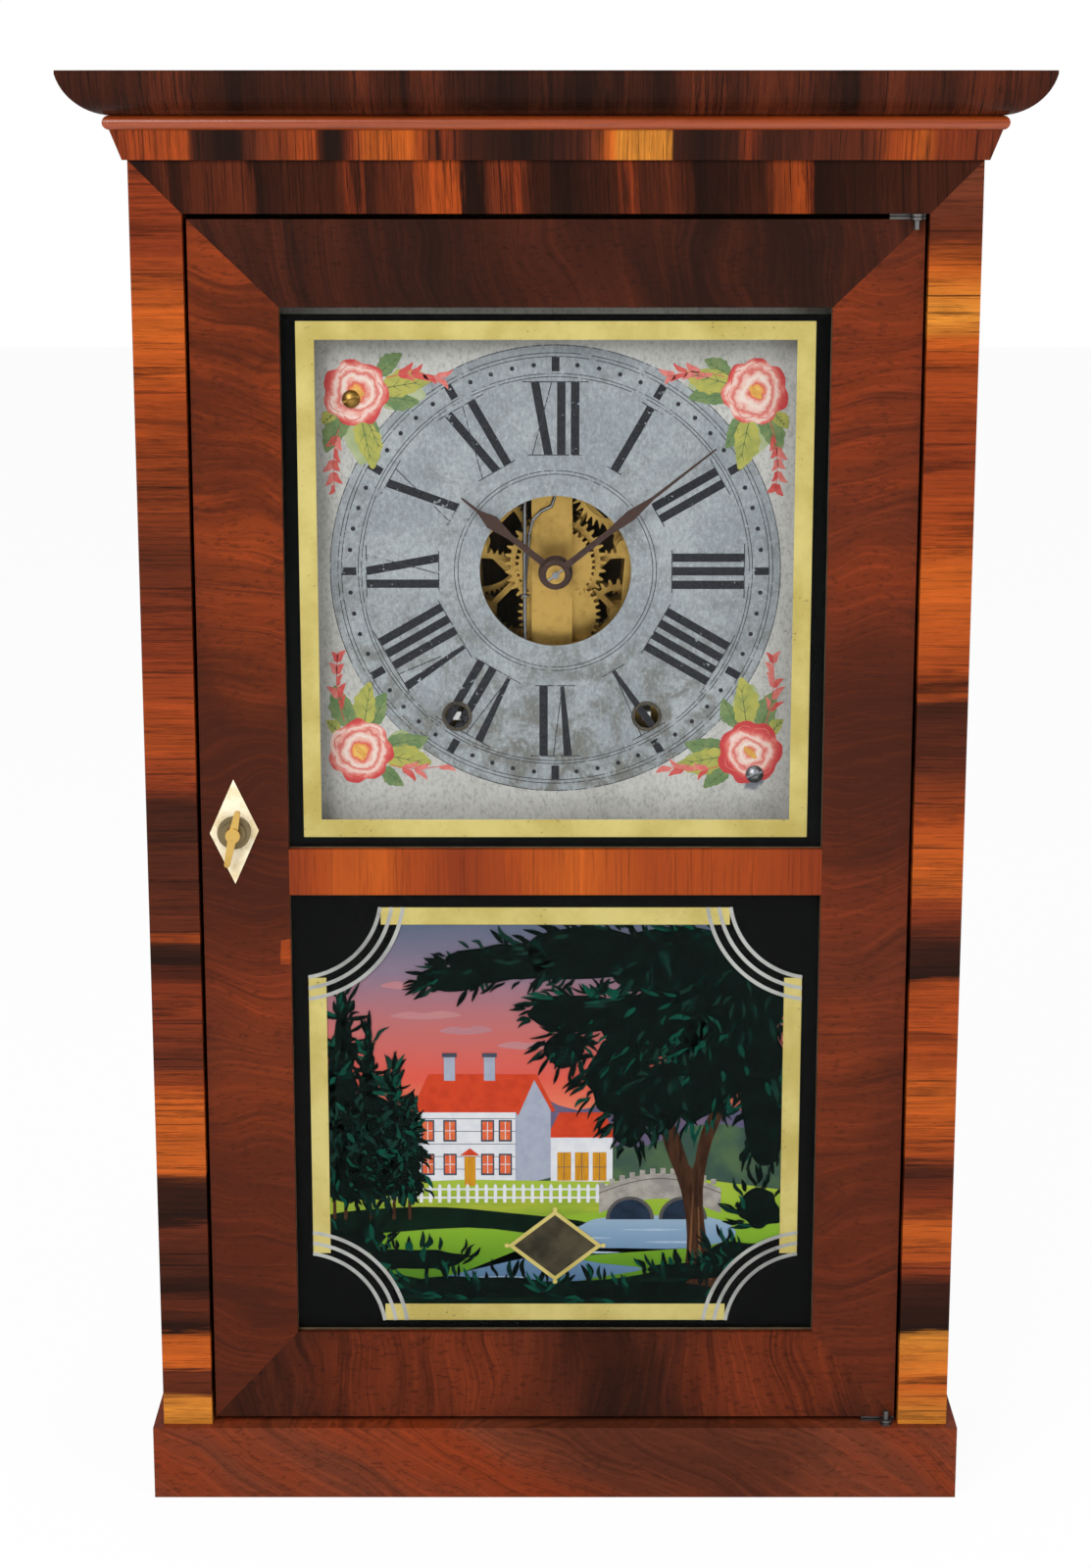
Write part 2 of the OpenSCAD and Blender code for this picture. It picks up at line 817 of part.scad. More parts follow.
module hour_wheel() {
    phase = meshed(minute_leaves, 0, bearing(minute_at, centre), hour_teeth);
    color("goldenrod") from_dial() difference() {
        union() {
            slab(y_hour_wheel, y_hour_wheel + wheel_t) cut_gear(hour_teeth, m_hour, phase, 0.19);
            rod(y_hour_hand - 0.6, y_hour_wheel + eps, pipe_r);
        }
        rod(0, y_rear, centre_r + fit);
    }
}

module minute_wheel() {
    phase = meshed(cannon_teeth, 0, bearing(centre, minute_at), minute_teeth);
    color("goldenrod") from_dial() at(minute_at) difference() {
        union() {
            slab(y_minute_wheel, y_minute_wheel + wheel_t)
                cut_gear(minute_teeth, m_cannon, phase, 0.19);
            slab(y_hour_wheel - 0.5, y_minute_wheel + eps) cut_gear(minute_leaves, m_hour, 0, 0.19);
        }
        rod(0, y_rear, arbor_r + fit);
    }
}

// ---------- wheels ----------

// Points of one gear outline; a tooth is centred at the angle "phase"
function gear_points(teeth, m, phase, half) = [
    for (i = [0:teeth - 1])
        for (q = [[-dedendum, -0.26], [0, -half], [addendum, -0.07], [addendum, 0.07], [0, half],
                [-dedendum, 0.26]])
            polar(pitch_r(teeth, m) + q[0] * m, phase + (i + q[1]) * 360 / teeth)];

module cut_gear(teeth, m, phase, half) {
    polygon(gear_points(teeth, m, phase, half));
}

// A crossed-out wheel, flat, with its bore
module spoked(teeth, m, phase, spokes, hub, bore) {
    rim_in = pitch_r(teeth, m) - dedendum * m - 2.4;
    difference() {
        cut_gear(teeth, m, phase, 0.19);
        difference() {
            circle(r = rim_in);
            circle(r = hub);
            for (i = [0:spokes - 1]) rotate(i * 360 / spokes + 45)
                translate([0, -1.3]) square([rim_in + 1, 2.6]);
        }
        circle(r = bore);
    }
}

// A lantern pinion between two depths
module lantern(m, y0, phase) {
    r = pitch_r(leaves, m);
    for (y = [y0, y0 + lantern_l - 1.1]) rod(y, y + 1.1, r + 1);
    for (i = [0:leaves - 1]) at(polar(r, phase + i * 360 / leaves)) rod(y0, y0 + lantern_l, trundle_r);
}

// An arbor between the plates with a pivot at each end
module arbor() {
    rod(y_in + shake, y_rear - shake, arbor_r);
    rod(y_front, y_rear + plate_t, pivot_r);
}

second_phase = meshed(great_teeth, 0, bearing(great_at, second_at), leaves);
third_phase = meshed(mid_teeth, 0, bearing(second_at, third_at), leaves);
last_phase = meshed(mid_teeth, 0, bearing(third_at, escape_at), leaves);
mirror_second = meshed(great_teeth, 0, bearing(strike_great_at, strike_second_at), leaves);
mirror_third = meshed(mid_teeth, 0, bearing(strike_second_at, strike_third_at), leaves);
mirror_last = meshed(mid_teeth, 0, bearing(strike_third_at, fly_at), leaves);

ratchet_r = 12.5;
y_ratchet = y_great - 1.9;

// Great wheel, turning freely on its drum's arbor, with its click
module great_wheel() {
    difference() {
        union() {
            slab(y_great, y_great + great_t) spoked(great_teeth, m_great, 0, 4, 9, wind_r + fit);
            rod(y_great, y_great + great_t + 1.6, 6);
            // The click and its rivet
            at([0, ratchet_r + 6]) rod(y_ratchet, y_great + eps, 2);
            slab(y_ratchet, y_great - 0.4) polygon([[-2, ratchet_r + 6.5], [2, ratchet_r + 6.5],
                [1.6, ratchet_r + 2], [-1.8, ratchet_r + 0.5]]);
            slab(y_great, y_great + great_t) translate([-3, 8]) square([6, 24]);
        }
        rod(y_great - 1, y_rear, wind_r + fit);
    }
}

// Saw-toothed ratchet outline
module ratchet() {
    teeth = 18;
    polygon([for (i = [0:teeth - 1]) for (q = [[ratchet_r - 2, 0], [ratchet_r, 0.15]])
        polar(q[0], (i + q[1]) * 360 / teeth)]);
}

// Winding arbor with its drum, ratchet and square
module drum() {
    rod(y_front - 0.5, y_rear - shake, wind_r);
    rod(y_rear - 1, y_rear + plate_t, wind_r - 1);
    slab(y_dial + 0.6, y_front) square(square_w, center = true);
    rod(y_drum, y_drum + drum_l, drum_r);
    for (y = [y_drum, y_drum + drum_l - 0.8]) rod(y, y + 0.8, drum_r + 3);
    slab(y_ratchet, y_great - 0.5) ratchet();
    rod(y_drum + drum_l, y_great - 0.5, 6);
}

module time_great_wheel() {
    color("goldenrod") from_dial() at(great_at) great_wheel();
}

module strike_great_wheel() {
    color("goldenrod") from_dial() at(strike_great_at) mirror([1, 0, 0]) great_wheel();
}

module time_drum() {
    color("peru") from_dial() at(great_at) drum();
}

module strike_drum() {
    color("peru") from_dial() at(strike_great_at) mirror([1, 0, 0]) drum();
}

module second_wheel(phase) {
    arbor();
    slab(y_second_wheel, y_second_wheel + wheel_t) spoked(mid_teeth, m_second, 0, 4, 5, 0.5);
    lantern(m_great, y_second_pinion, phase);
}

module time_second_wheel() {
    color("goldenrod") from_dial() at(second_at) {
        second_wheel(second_phase);
        slab(y_centre_wheel - 0.2, y_centre_wheel + wheel_t + 0.2)
            spoked(drive_teeth, m_centre, 0, 4, 4, 0.5);
    }
}

module strike_second_wheel() {
    color("goldenrod") from_dial() at(strike_second_at) second_wheel(mirror_second);
}

module third_wheel(phase) {
    arbor();
    slab(y_third_wheel, y_third_wheel + wheel_t) spoked(mid_teeth, m_third, 0, 4, 5, 0.5);
    lantern(m_second, y_third_pinion, phase);
}

module time_third_wheel() {
    color("goldenrod") from_dial() at(third_at) third_wheel(third_phase);
}

// The pins on this wheel lift the hammer
module strike_third_wheel() {
    color("goldenrod") from_dial() at(strike_third_at) {
        third_wheel(mirror_third);
        for (a = [0:45:315])
            at(polar(pitch_r(mid_teeth, m_third) - 2.6, a)) rod(y_third_wheel, y_third_wheel + 4, 0.6);
    }
}

// Centre wheel, gripped by the centre arbor only by friction
module centre_wheel() {
    phase = meshed(drive_teeth, 0, bearing(second_at, centre), centre_teeth);
    color("goldenrod") from_dial() difference() {
        union() {
            slab(y_centre_wheel, y_centre_wheel + wheel_t)
                spoked(centre_teeth, m_centre, phase, 5, 5, centre_r);
            rod(y_centre_wheel - 0.8, y_centre_wheel + wheel_t + 1.4, 3.6);
        }
        rod(y_in, y_rear, centre_r + fit);
    }
}

// Pointed, leaning teeth on a thin rim
module escape_wheel() {
    step = 360 / escape_teeth;
    color("goldenrod") from_dial() at(escape_at) {
        slab(y_escape, y_escape + 1.2) difference() {
            polygon([for (i = [0:escape_teeth - 1]) for (q = [[escape_r - 3.2, 0],
                [escape_r, 0.62], [escape_r, 0.7], [escape_r - 3.2, 0.72]])
                polar(q[0], (i + q[1]) * step)]);
            difference() {
                circle(r = escape_r - 5);
                circle(r = 4);
                for (i = [0:3]) rotate(i * 90) translate([0, -0.9]) square([escape_r - 4, 1.8]);
            }
        }
        rod(y_escape - 1, y_escape + 2.4, 2.6);
        rod(y_escape - 1.6, y_rear - shake, arbor_r);
        rod(y_cock, y_rear + plate_t, pivot_r);
        lantern(m_third, y_last_pinion, last_phase);
    }
}

module fly() {
    color("goldenrod") from_dial() at(fly_at) {
        arbor();
        lantern(m_third, y_last_pinion, mirror_last);
        block(-11, 11, y_in + 4, y_in + 16, -0.4, 0.4);
        rod(y_in + 4, y_in + 16, 1.8);
    }
}

// ---------- escapement and pendulum ----------

crutch_z = -12;
crutch_bend = [[pendulum_x + 11.7, 27], [pendulum_x + 7.2, 24.8], [pendulum_x + 3.6, 21], [pendulum_x + 2, 15]];
y_crutch = y_front - 1.7;
crutch_r = 0.65;

// A bent strip with a pallet at each end, and the crutch wire that moves the pendulum
module verge() {
    entry = escape_at + polar(escape_r + 2.5, 183);
    exit = escape_at + polar(escape_r + 2.5, 99);
    color("lightslategray") from_dial() difference() {
        union() {
            at(verge_at) rod(y_escape - 0.6, y_crutch + crutch_r + 0.2, 2.2);
            for (p = [entry, exit]) {
                bar([verge_at[0], y_escape + 0.6, verge_at[1]], [p[0], y_escape + 0.6, p[1]], 0.55);
                at(p) rod(y_escape - 0.4, y_escape + 1.6, 0.55);
            }
            way = concat([verge_at], crutch_bend, [[pendulum_x, crutch_z]]);
            for (i = [0:len(way) - 2]) {
                bar([way[i][0], y_crutch, way[i][1]], [way[i + 1][0], y_crutch, way[i + 1][1]], crutch_r);
                at(way[i + 1]) translate([0, y_crutch, 0]) sphere(r = crutch_r + 0.1);
            }
            bar([pendulum_x, y_crutch, crutch_z], [pendulum_x, y_pendulum + rod_r + 0.9, crutch_z], crutch_r);
            // The loop round the pendulum's wire
            translate([pendulum_x, y_pendulum, crutch_z]) rotate_extrude()
                translate([rod_r + 1.2, 0]) circle(r = 0.5);
        }
        at(verge_at) rod(0, y_rear, 1 + fit);
    }
}

module pendulum_rod() {
    color("silver") from_dial() at(hang_at) {
        difference() {
            union() {
                rod(y_pendulum - 0.6, y_pendulum + 0.6, 3.6);
                translate([0, y_pendulum, -pendulum_l - bob_r - 7])
                    cylinder(h = pendulum_l + bob_r + 7 - 2.6, r = rod_r);
            }
            rod(0, y_rear, 1.5 + fit);
        }
        // The rating nut under the bob
        translate([0, y_pendulum, -pendulum_l - bob_r - 4]) cylinder(h = 3, r = 3.4);
    }
}

module pendulum_bob() {
    lens = (pow(bob_r, 2) + pow(bob_t / 2, 2)) / bob_t;
    color("goldenrod") from_dial() at(hang_at) translate([0, y_pendulum, -pendulum_l]) difference() {
        rotate([90, 0, 0]) rotate_extrude() intersection() {
            translate([0, lens - bob_t / 2]) circle(r = lens, $fn = 200);
            translate([0, bob_t / 2 - lens]) circle(r = lens, $fn = 200);
            translate([0, -bob_t]) square([bob_r - 0.8, 2 * bob_t]);
        }
        cylinder(h = 3 * bob_r, r = rod_r + fit, center = true);
    }
}

// ---------- plates ----------

// A strip with round ends between two points
module strip(p, q, w) {
    for (e = [p, q]) translate(e) circle(r = w / 2);
    translate(p) rotate(bearing(p, q)) translate([0, -w / 2]) square([norm(q - p), w]);
}

// The side strap follows its train's pivots on their outer side
module side_strap(low, high) {
    way = [[second_at[0] + side_out, low], second_at + [side_out, 0], third_at + [side_out - 0.5, 0],
        escape_at + [side_out + 1, 0], [escape_at[0] + side_out + 1, high]];
    for (i = [0:len(way) - 2]) strip(way[i], way[i + 1], side_w);
    for (p = [second_at, third_at, escape_at]) translate(p) circle(r = 4.2);
}

// The straps of one plate, in X and Z
module strap_plate() {
    low = great_at[1] - strap_w / 2;
    high = pillar_high[1] + 7;
    translate([-strap_w / 2 - strap_left, low]) square([strap_w, high - low]);
    side_strap(low + side_w / 2, high - side_w / 2);
    translate([-strike_shift, 0]) mirror([1, 0]) side_strap(low + side_w / 2, high - side_w / 2);
    translate([strike_great_at[0] - 8, low])
        square([great_at[0] - strike_great_at[0] + 16, strap_w]);
    translate(mirrored(pillar_low) - [6, 5]) square([2 * pillar_low[0] + strike_shift + 12, 10]);
    translate([-pillar_high[0] - 6, verge_at[1] - 6]) square([2 * pillar_high[0] + 12, high - verge_at[1] + 6]);
    translate([hammer_at[0] - 5, hammer_at[1] - 5]) square([24, 10]);
}

// Holes for every pivot that both plates carry
module pivot_holes() {
    for (p = [second_at, third_at, strike_second_at, strike_third_at, fly_at])
        translate(p) circle(r = pivot_r + fit);
    translate(hammer_at) circle(r = arbor_r + fit);
}

// Front plate with its studs and the escape wheel's cock
module front_plate() {
    foot = escape_at + [cock_right, cock_up];
    color("goldenrod") from_dial() {
        slab(y_front, y_in) difference() {
            strap_plate();
            pivot_holes();
            circle(r = pipe_r + 0.08);
            for (p = [great_at, strike_great_at]) translate(p) circle(r = wind_r + fit);
            translate(escape_at) circle(r = 2.4);
            for (p = PILLARS) translate(p) circle(r = 1.6);
        }
        at(minute_at) rod(y_front, y_minute_wheel + wheel_t + 1, arbor_r);
        at(verge_at) rod(y_escape - 1, y_front + eps, 1);
        at(hang_at) {
            rod(y_pendulum - 2, y_front + eps, 1.5);
            rod(y_pendulum - 3, y_pendulum - 2, 2.6);
        }
        difference() {
            union() {
                at(foot) rod(y_cock, y_front + eps, 3);
                at(escape_at) rod(y_cock, y_cock + 1.4, 3.4);
                slab(y_cock, y_cock + 1.4) translate(escape_at) rotate(bearing(escape_at, foot))
                    translate([0, -2.6]) square([norm(foot - escape_at), 5.2]);
            }
            at(escape_at) rod(y_cock - 1, y_front, pivot_r + fit);
        }
    }
}

// Rear plate with its riveted pillars
module rear_plate() {
    color("goldenrod") from_dial() difference() {
        union() {
            slab(y_rear, y_rear + plate_t) strap_plate();
            for (p = PILLARS) at(p) {
                rod(y_in, y_rear + eps, pillar_r);
                rod(y_front - 2.4, y_in + eps, 1.6);
            }
        }
        slab(y_rear - 1, y_rear + plate_t + 1) {
            pivot_holes();
            circle(r = centre_r + fit);
            for (p = [great_at, strike_great_at]) translate(p) circle(r = wind_r - 1 + fit);
            translate(escape_at) circle(r = pivot_r + fit);
        }
        for (p = PILLARS) at(p) translate([0, y_front - 1.2, 0]) cylinder(h = 10, r = 0.6, center = true);
    }
}

module plate_pins() {
    color("silver") from_dial() for (p = PILLARS) at(p) translate([0, y_front - 1.2, 0])
        cylinder(h = 9, r = 0.55, center = true);
}

// ---------- strike ----------

// Hammer arbor behind the rear plate, with its wire, head and lifting tail
module hammer() {
    y_head = y_gong;
    reach = dial_z + hammer_at[1] - gong_z - gong_r * 0.62;
    to_third = bearing(hammer_at, strike_third_at);
    tail_l = norm(strike_third_at - hammer_at) - pitch_r(mid_teeth, m_third) + 1.1;
    color("lightslategray") from_dial() at(hammer_at) {
        rod(y_front, y_head + 1.4, arbor_r);
        translate([0, y_head, -reach]) cylinder(h = reach, r = 1);
        translate([0, y_head, -reach]) rotate([0, 90, 0]) cylinder(h = 13, r = 4.4, center = true);
        rod(y_third_wheel + 2.2, y_third_wheel + 4, 2.4);
        bar([0, y_third_wheel + 3.1, 0],
            [tail_l * cos(to_third), y_third_wheel + 3.1, tail_l * sin(to_third)], 0.7);
    }
}

module gong_stand() {
    color("dimgray") placed() translate([0, 0, gong_z]) {
        difference() {
            rod(y_gong - 4, y_back, gong_post_r);
            translate([gong_post_r - gong_seat, y_gong, 0]) rotate([0, 90, 0])
                cylinder(h = gong_seat + 1, r = gong_wire_r + fit);
        }
        rod(y_back - 4, y_back, 17);
    }
}

// The gong's path: straight out of the stand, a short bend, and then a flat spiral
gong_seat = 1;
gong_lead = 2 * gong_wire_r;
gong_in = gong_r - gong_turns * gong_pitch;
spiral_step = 15;
gong_line = concat(
    [for (r = [gong_post_r - gong_seat, gong_post_r + gong_lead]) polar(r, 0)],
    [for (t = [1:3]) polar(gong_post_r + gong_lead + (gong_in - gong_post_r - gong_lead) * sin(t * 30),
        12 * t * t / 9 * 3)],
    [for (a = [spiral_step:spiral_step:360 * gong_turns])
        polar(gong_in + gong_pitch * a / 360, 36 + a)]);
gong_sides = 6;

// Sweeps a tube of a given radius along flat points
module flat_tube(line, r) {
    n = len(line);
    rings = [for (i = [0:n - 1])
        let (d = line[min(i + 1, n - 1)] - line[max(i - 1, 0)], u = d / norm(d), side = [u[1], -u[0]])
        for (k = [0:gong_sides - 1])
            let (a = k * 360 / gong_sides)
            [line[i][0] + side[0] * r * cos(a), r * sin(a), line[i][1] + side[1] * r * cos(a)]];
    skin = [for (i = [0:n - 2]) for (k = [0:gong_sides - 1])
        let (j = (k + 1) % gong_sides, a = i * gong_sides, b = a + gong_sides)
        each [[a + k, a + j, b + j], [a + k, b + j, b + k]]];
    first = [for (k = [1:gong_sides - 2]) [0, k + 1, k]];
    last = [for (k = [1:gong_sides - 2]) [(n - 1) * gong_sides, (n - 1) * gong_sides + k,
        (n - 1) * gong_sides + k + 1]];
    polyhedron(points = rings, faces = concat(skin, first, last), convexity = 10);
}

// The least gap of the gong to itself, measured between points a third of a turn or more apart
apart = 8;
gong_gap = min([for (i = [0:len(gong_line) - 1 - apart]) min([for (j = [i + apart:len(gong_line) - 1])
    norm(gong_line[i] - gong_line[j])])]) - 2 * gong_wire_r;
echo(gong_least_gap_mm = gong_gap);

module gong_wire() {
    color("slategray") placed() translate([0, y_gong, gong_z]) flat_tube(gong_line, gong_wire_r);
}

// ---------- weights, pulleys and cords ----------

module pulley() {
    profile = [[1.6 + fit, -4], [pulley_flange, -4], [pulley_flange, -3], [groove_r, -0.9],
        [groove_r, 0.9], [pulley_flange, 3], [pulley_flange, 4], [1.6 + fit, 4]];
    translate([pulley_x, y_cord, pulley_z]) rotate([90, 0, 0]) rotate_extrude() polygon(profile);
}

module time_pulley() {
    color("peru") placed() pulley();
}

module strike_pulley() {
    color("peru") placed() mirror([1, 0, 0]) pulley();
}

// A strap folded over each pulley, screwed under the top board
module pulley_brackets() {
    color("dimgray") placed() both_sides() {
        for (y = [y_cord - 6.5, y_cord + 5])
            block(pulley_x - 5, pulley_x + 5, y, y + 1.5, pulley_z - 6, body_top);
        block(pulley_x - 5, pulley_x + 5, y_cord - 14, y_cord + 14, body_top - 1.5, body_top);
        translate([pulley_x, 0, pulley_z]) rod(y_cord - 7, y_cord + 7, 1.6);
    }
}

module weight() {
    translate([weight_x, y_cord, 0]) {
        translate([0, 0, weight_z]) cylinder(h = weight_h - 5, r = weight_r);
        translate([0, 0, weight_z + weight_h - 5]) cylinder(h = 5, r1 = weight_r, r2 = weight_r - 6);
        translate([0, 0, weight_z + weight_h - 1]) cylinder(h = 4, r = 2);
        translate([0, 0, weight_eye_z - 4.2]) rotate([90, 0, 0]) rotate_extrude()
            translate([3.4, 0]) circle(r = 1);
    }
}

module time_weight() {
    color("dimgray") placed() weight();
}

module strike_weight() {
    color("dimgray") placed() mirror([1, 0, 0]) weight();
}

module cord_drop() {
    translate([weight_x, y_cord, weight_eye_z + 0.4])
        cylinder(h = pulley_z - cord_end - weight_eye_z - 0.4, r = cord_r);
}

module time_cord() {
    color("wheat") placed() cord_drop();
}

module strike_cord() {
    color("wheat") placed() mirror([1, 0, 0]) cord_drop();
}

// How far the cord over a pulley runs straight down before the drop takes over
cord_end = 0.5;

// The cord from a drum up to its pulley and over it. It leaves the drum on the side away from
// the pulley, so that the falling weight turns the hands clockwise.
module cord_run(from) {
    start = [from[0], dial_z + from[1]];
    over = [pulley_x, pulley_z];
    lean = bearing(start, over) + asin((drum_line - pulley_line) / norm(over - start));
    turns = 12;
    line = concat([start + polar(drum_line, lean + 90)],
        [for (i = [0:turns]) over + polar(pulley_line, (lean + 90) * (1 - i / turns))],
        [over + [pulley_line, -cord_end]]);
    translate([0, y_cord, 0]) flat_tube(line, cord_r);
}

module cord_runs() {
    color("wheat") placed() {
        cord_run(great_at);
        mirror([1, 0, 0]) cord_run([-strike_great_at[0], strike_great_at[1]]);
    }
}

backboard();
case_sides();
top_board();
bottom_board();
front_stiles();
frieze_rail();
canted_fascia();
bead();
cornice();
plinth();
hinge_plates();
door_stile_left();
door_stile_right();
door_rails();
door_cross_rail();
upper_glass();
lower_tablet();
glass_putty();
door_hinges();
escutcheon();
latch_rose();
latch_turn();
dial();
dial_cleats();
dial_screws();
winding_grommets();
centre_arbor();
minute_hand();
hand_pin();
minute_wheel();
hour_wheel();
hour_hand();
front_plate();
rear_plate();
plate_pins();
time_great_wheel();
time_drum();
time_second_wheel();
centre_wheel();
time_third_wheel();
escape_wheel();
verge();
pendulum_rod();
pendulum_bob();
strike_great_wheel();
strike_drum();
strike_second_wheel();
strike_third_wheel();
fly();
hammer();
gong_stand();
gong_wire();
pulley_brackets();
time_pulley();
strike_pulley();
time_weight();
strike_weight();
time_cord();
strike_cord();
cord_runs();
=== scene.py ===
"""Dresses a packed shelf clock with veneers, brass, a painted dial and painted glass.

Lengths in the classes are millimetres in the clock's own frame and become metres in the meshes.
"""
import logging
import math
import random
from dataclasses import dataclass, field
from enum import Enum
from typing import Any, Iterable, Mapping, Sequence

import bpy
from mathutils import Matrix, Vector


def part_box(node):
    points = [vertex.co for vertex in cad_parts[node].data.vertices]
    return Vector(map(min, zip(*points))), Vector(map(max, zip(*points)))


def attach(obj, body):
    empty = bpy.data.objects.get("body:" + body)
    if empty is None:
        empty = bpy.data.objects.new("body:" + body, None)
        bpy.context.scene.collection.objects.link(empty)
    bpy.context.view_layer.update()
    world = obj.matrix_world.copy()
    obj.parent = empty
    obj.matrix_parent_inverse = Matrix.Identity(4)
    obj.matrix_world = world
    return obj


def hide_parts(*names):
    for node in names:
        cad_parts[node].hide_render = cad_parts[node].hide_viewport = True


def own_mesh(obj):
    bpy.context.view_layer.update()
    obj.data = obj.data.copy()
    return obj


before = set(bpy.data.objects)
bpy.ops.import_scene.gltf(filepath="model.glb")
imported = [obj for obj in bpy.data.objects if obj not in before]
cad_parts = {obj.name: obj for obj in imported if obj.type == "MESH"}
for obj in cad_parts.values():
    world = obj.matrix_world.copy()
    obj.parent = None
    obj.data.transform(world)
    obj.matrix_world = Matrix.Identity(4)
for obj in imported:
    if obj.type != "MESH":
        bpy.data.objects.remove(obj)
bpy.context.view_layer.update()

LOG = logging.getLogger("shelf_clock")
Point = tuple[float, float]
Point3 = tuple[float, float, float]
Colour = tuple[float, float, float]

MM = 0.001
# How far the first paint lies off the dial and off the glass, and how far apart its layers lie, in mm.
DIAL_LIFT, DIAL_STEP = 0.02, 0.03
GLASS_LIFT, GLASS_STEP = 0.03, 0.04
# Places on the front, as X and Z in mm.
DIAL_CENTRE: Point = (0.0, 421.0)
DIAL_ROUND = 98.75
DIAL_SCREWS: tuple[Point, ...] = ((-88.5, 496.3), (88.5, 330.0))
TIME_DRUM: Point = (40.4, 356.25)
STRIKE_DRUM: Point = (-43.5, 356.25)
# Stretch of brush strokes that run upright.
UPRIGHT = (2.5, 0.4)


def shade(red: float, green: float, blue: float) -> Colour:
    """Turns a screen colour into a linear one.

    Args:
        red: Red from 0 to 255.
        green: Green from 0 to 255.
        blue: Blue from 0 to 255.

    Returns:
        The colour that the shaders take.
    """
    def linear(part: float) -> float:
        """Undoes the screen's curve for one part."""
        part /= 255
        return part / 12.92 if part <= 0.04045 else ((part + 0.055) / 1.055) ** 2.4
    return (linear(red), linear(green), linear(blue))


class Tone(Enum):
    """Wood tones of the veneers."""

    BLACK = shade(27, 13, 8)
    DARK = shade(54, 24, 14)
    DEEP = shade(82, 35, 19)
    RED = shade(116, 46, 21)
    BROWN = shade(100, 50, 32)
    RUST = shade(142, 60, 22)
    ORANGE = shade(166, 78, 26)
    GOLD = shade(190, 118, 42)


class Grain(Enum):
    """Direction in which the fibres of a board or veneer run."""

    LEVEL = "level"
    UPRIGHT = "upright"


class Value:
    """A socket of a material, with operators that add Math nodes."""

    def __init__(self, graph: "Graph", socket: bpy.types.NodeSocket) -> None:
        """Keeps the graph and the socket."""
        self.graph = graph
        self.socket = socket

    def maths(self, operation: str, *terms: "Value | float") -> "Value":
        """Adds a Math node.

        Args:
            operation: The node's operation.
            terms: What its sockets take, in order.

        Returns:
            The node's result.
        """
        return self.graph.node("ShaderNodeMath", {"operation": operation}, dict(enumerate(terms)))

    def root(self) -> "Value":
        """Gives the square root."""
        return self.maths("SQRT", self)

    def sine(self) -> "Value":
        """Gives the sine."""
        return self.maths("SINE", self)

    def larger(self, other: "Value | float") -> "Value":
        """Gives the larger of the two."""
        return self.maths("MAXIMUM", self, other)

    def __add__(self, other: "Value | float") -> "Value":
        """Adds."""
        return self.maths("ADD", self, other)

    __radd__ = __add__

    def __sub__(self, other: "Value | float") -> "Value":
        """Subtracts."""
        return self.maths("SUBTRACT", self, other)

    def __rsub__(self, other: "Value | float") -> "Value":
        """Subtracts from a number."""
        return self.maths("SUBTRACT", other, self)

    def __mul__(self, other: "Value | float") -> "Value":
        """Multiplies."""
        return self.maths("MULTIPLY", self, other)

    __rmul__ = __mul__

    def __truediv__(self, other: "Value | float") -> "Value":
        """Divides."""
        return self.maths("DIVIDE", self, other)

    def __rtruediv__(self, other: "Value | float") -> "Value":
        """Divides a number."""
        return self.maths("DIVIDE", other, self)

    def __abs__(self) -> "Value":
        """Drops the sign."""
        return self.maths("ABSOLUTE", self)


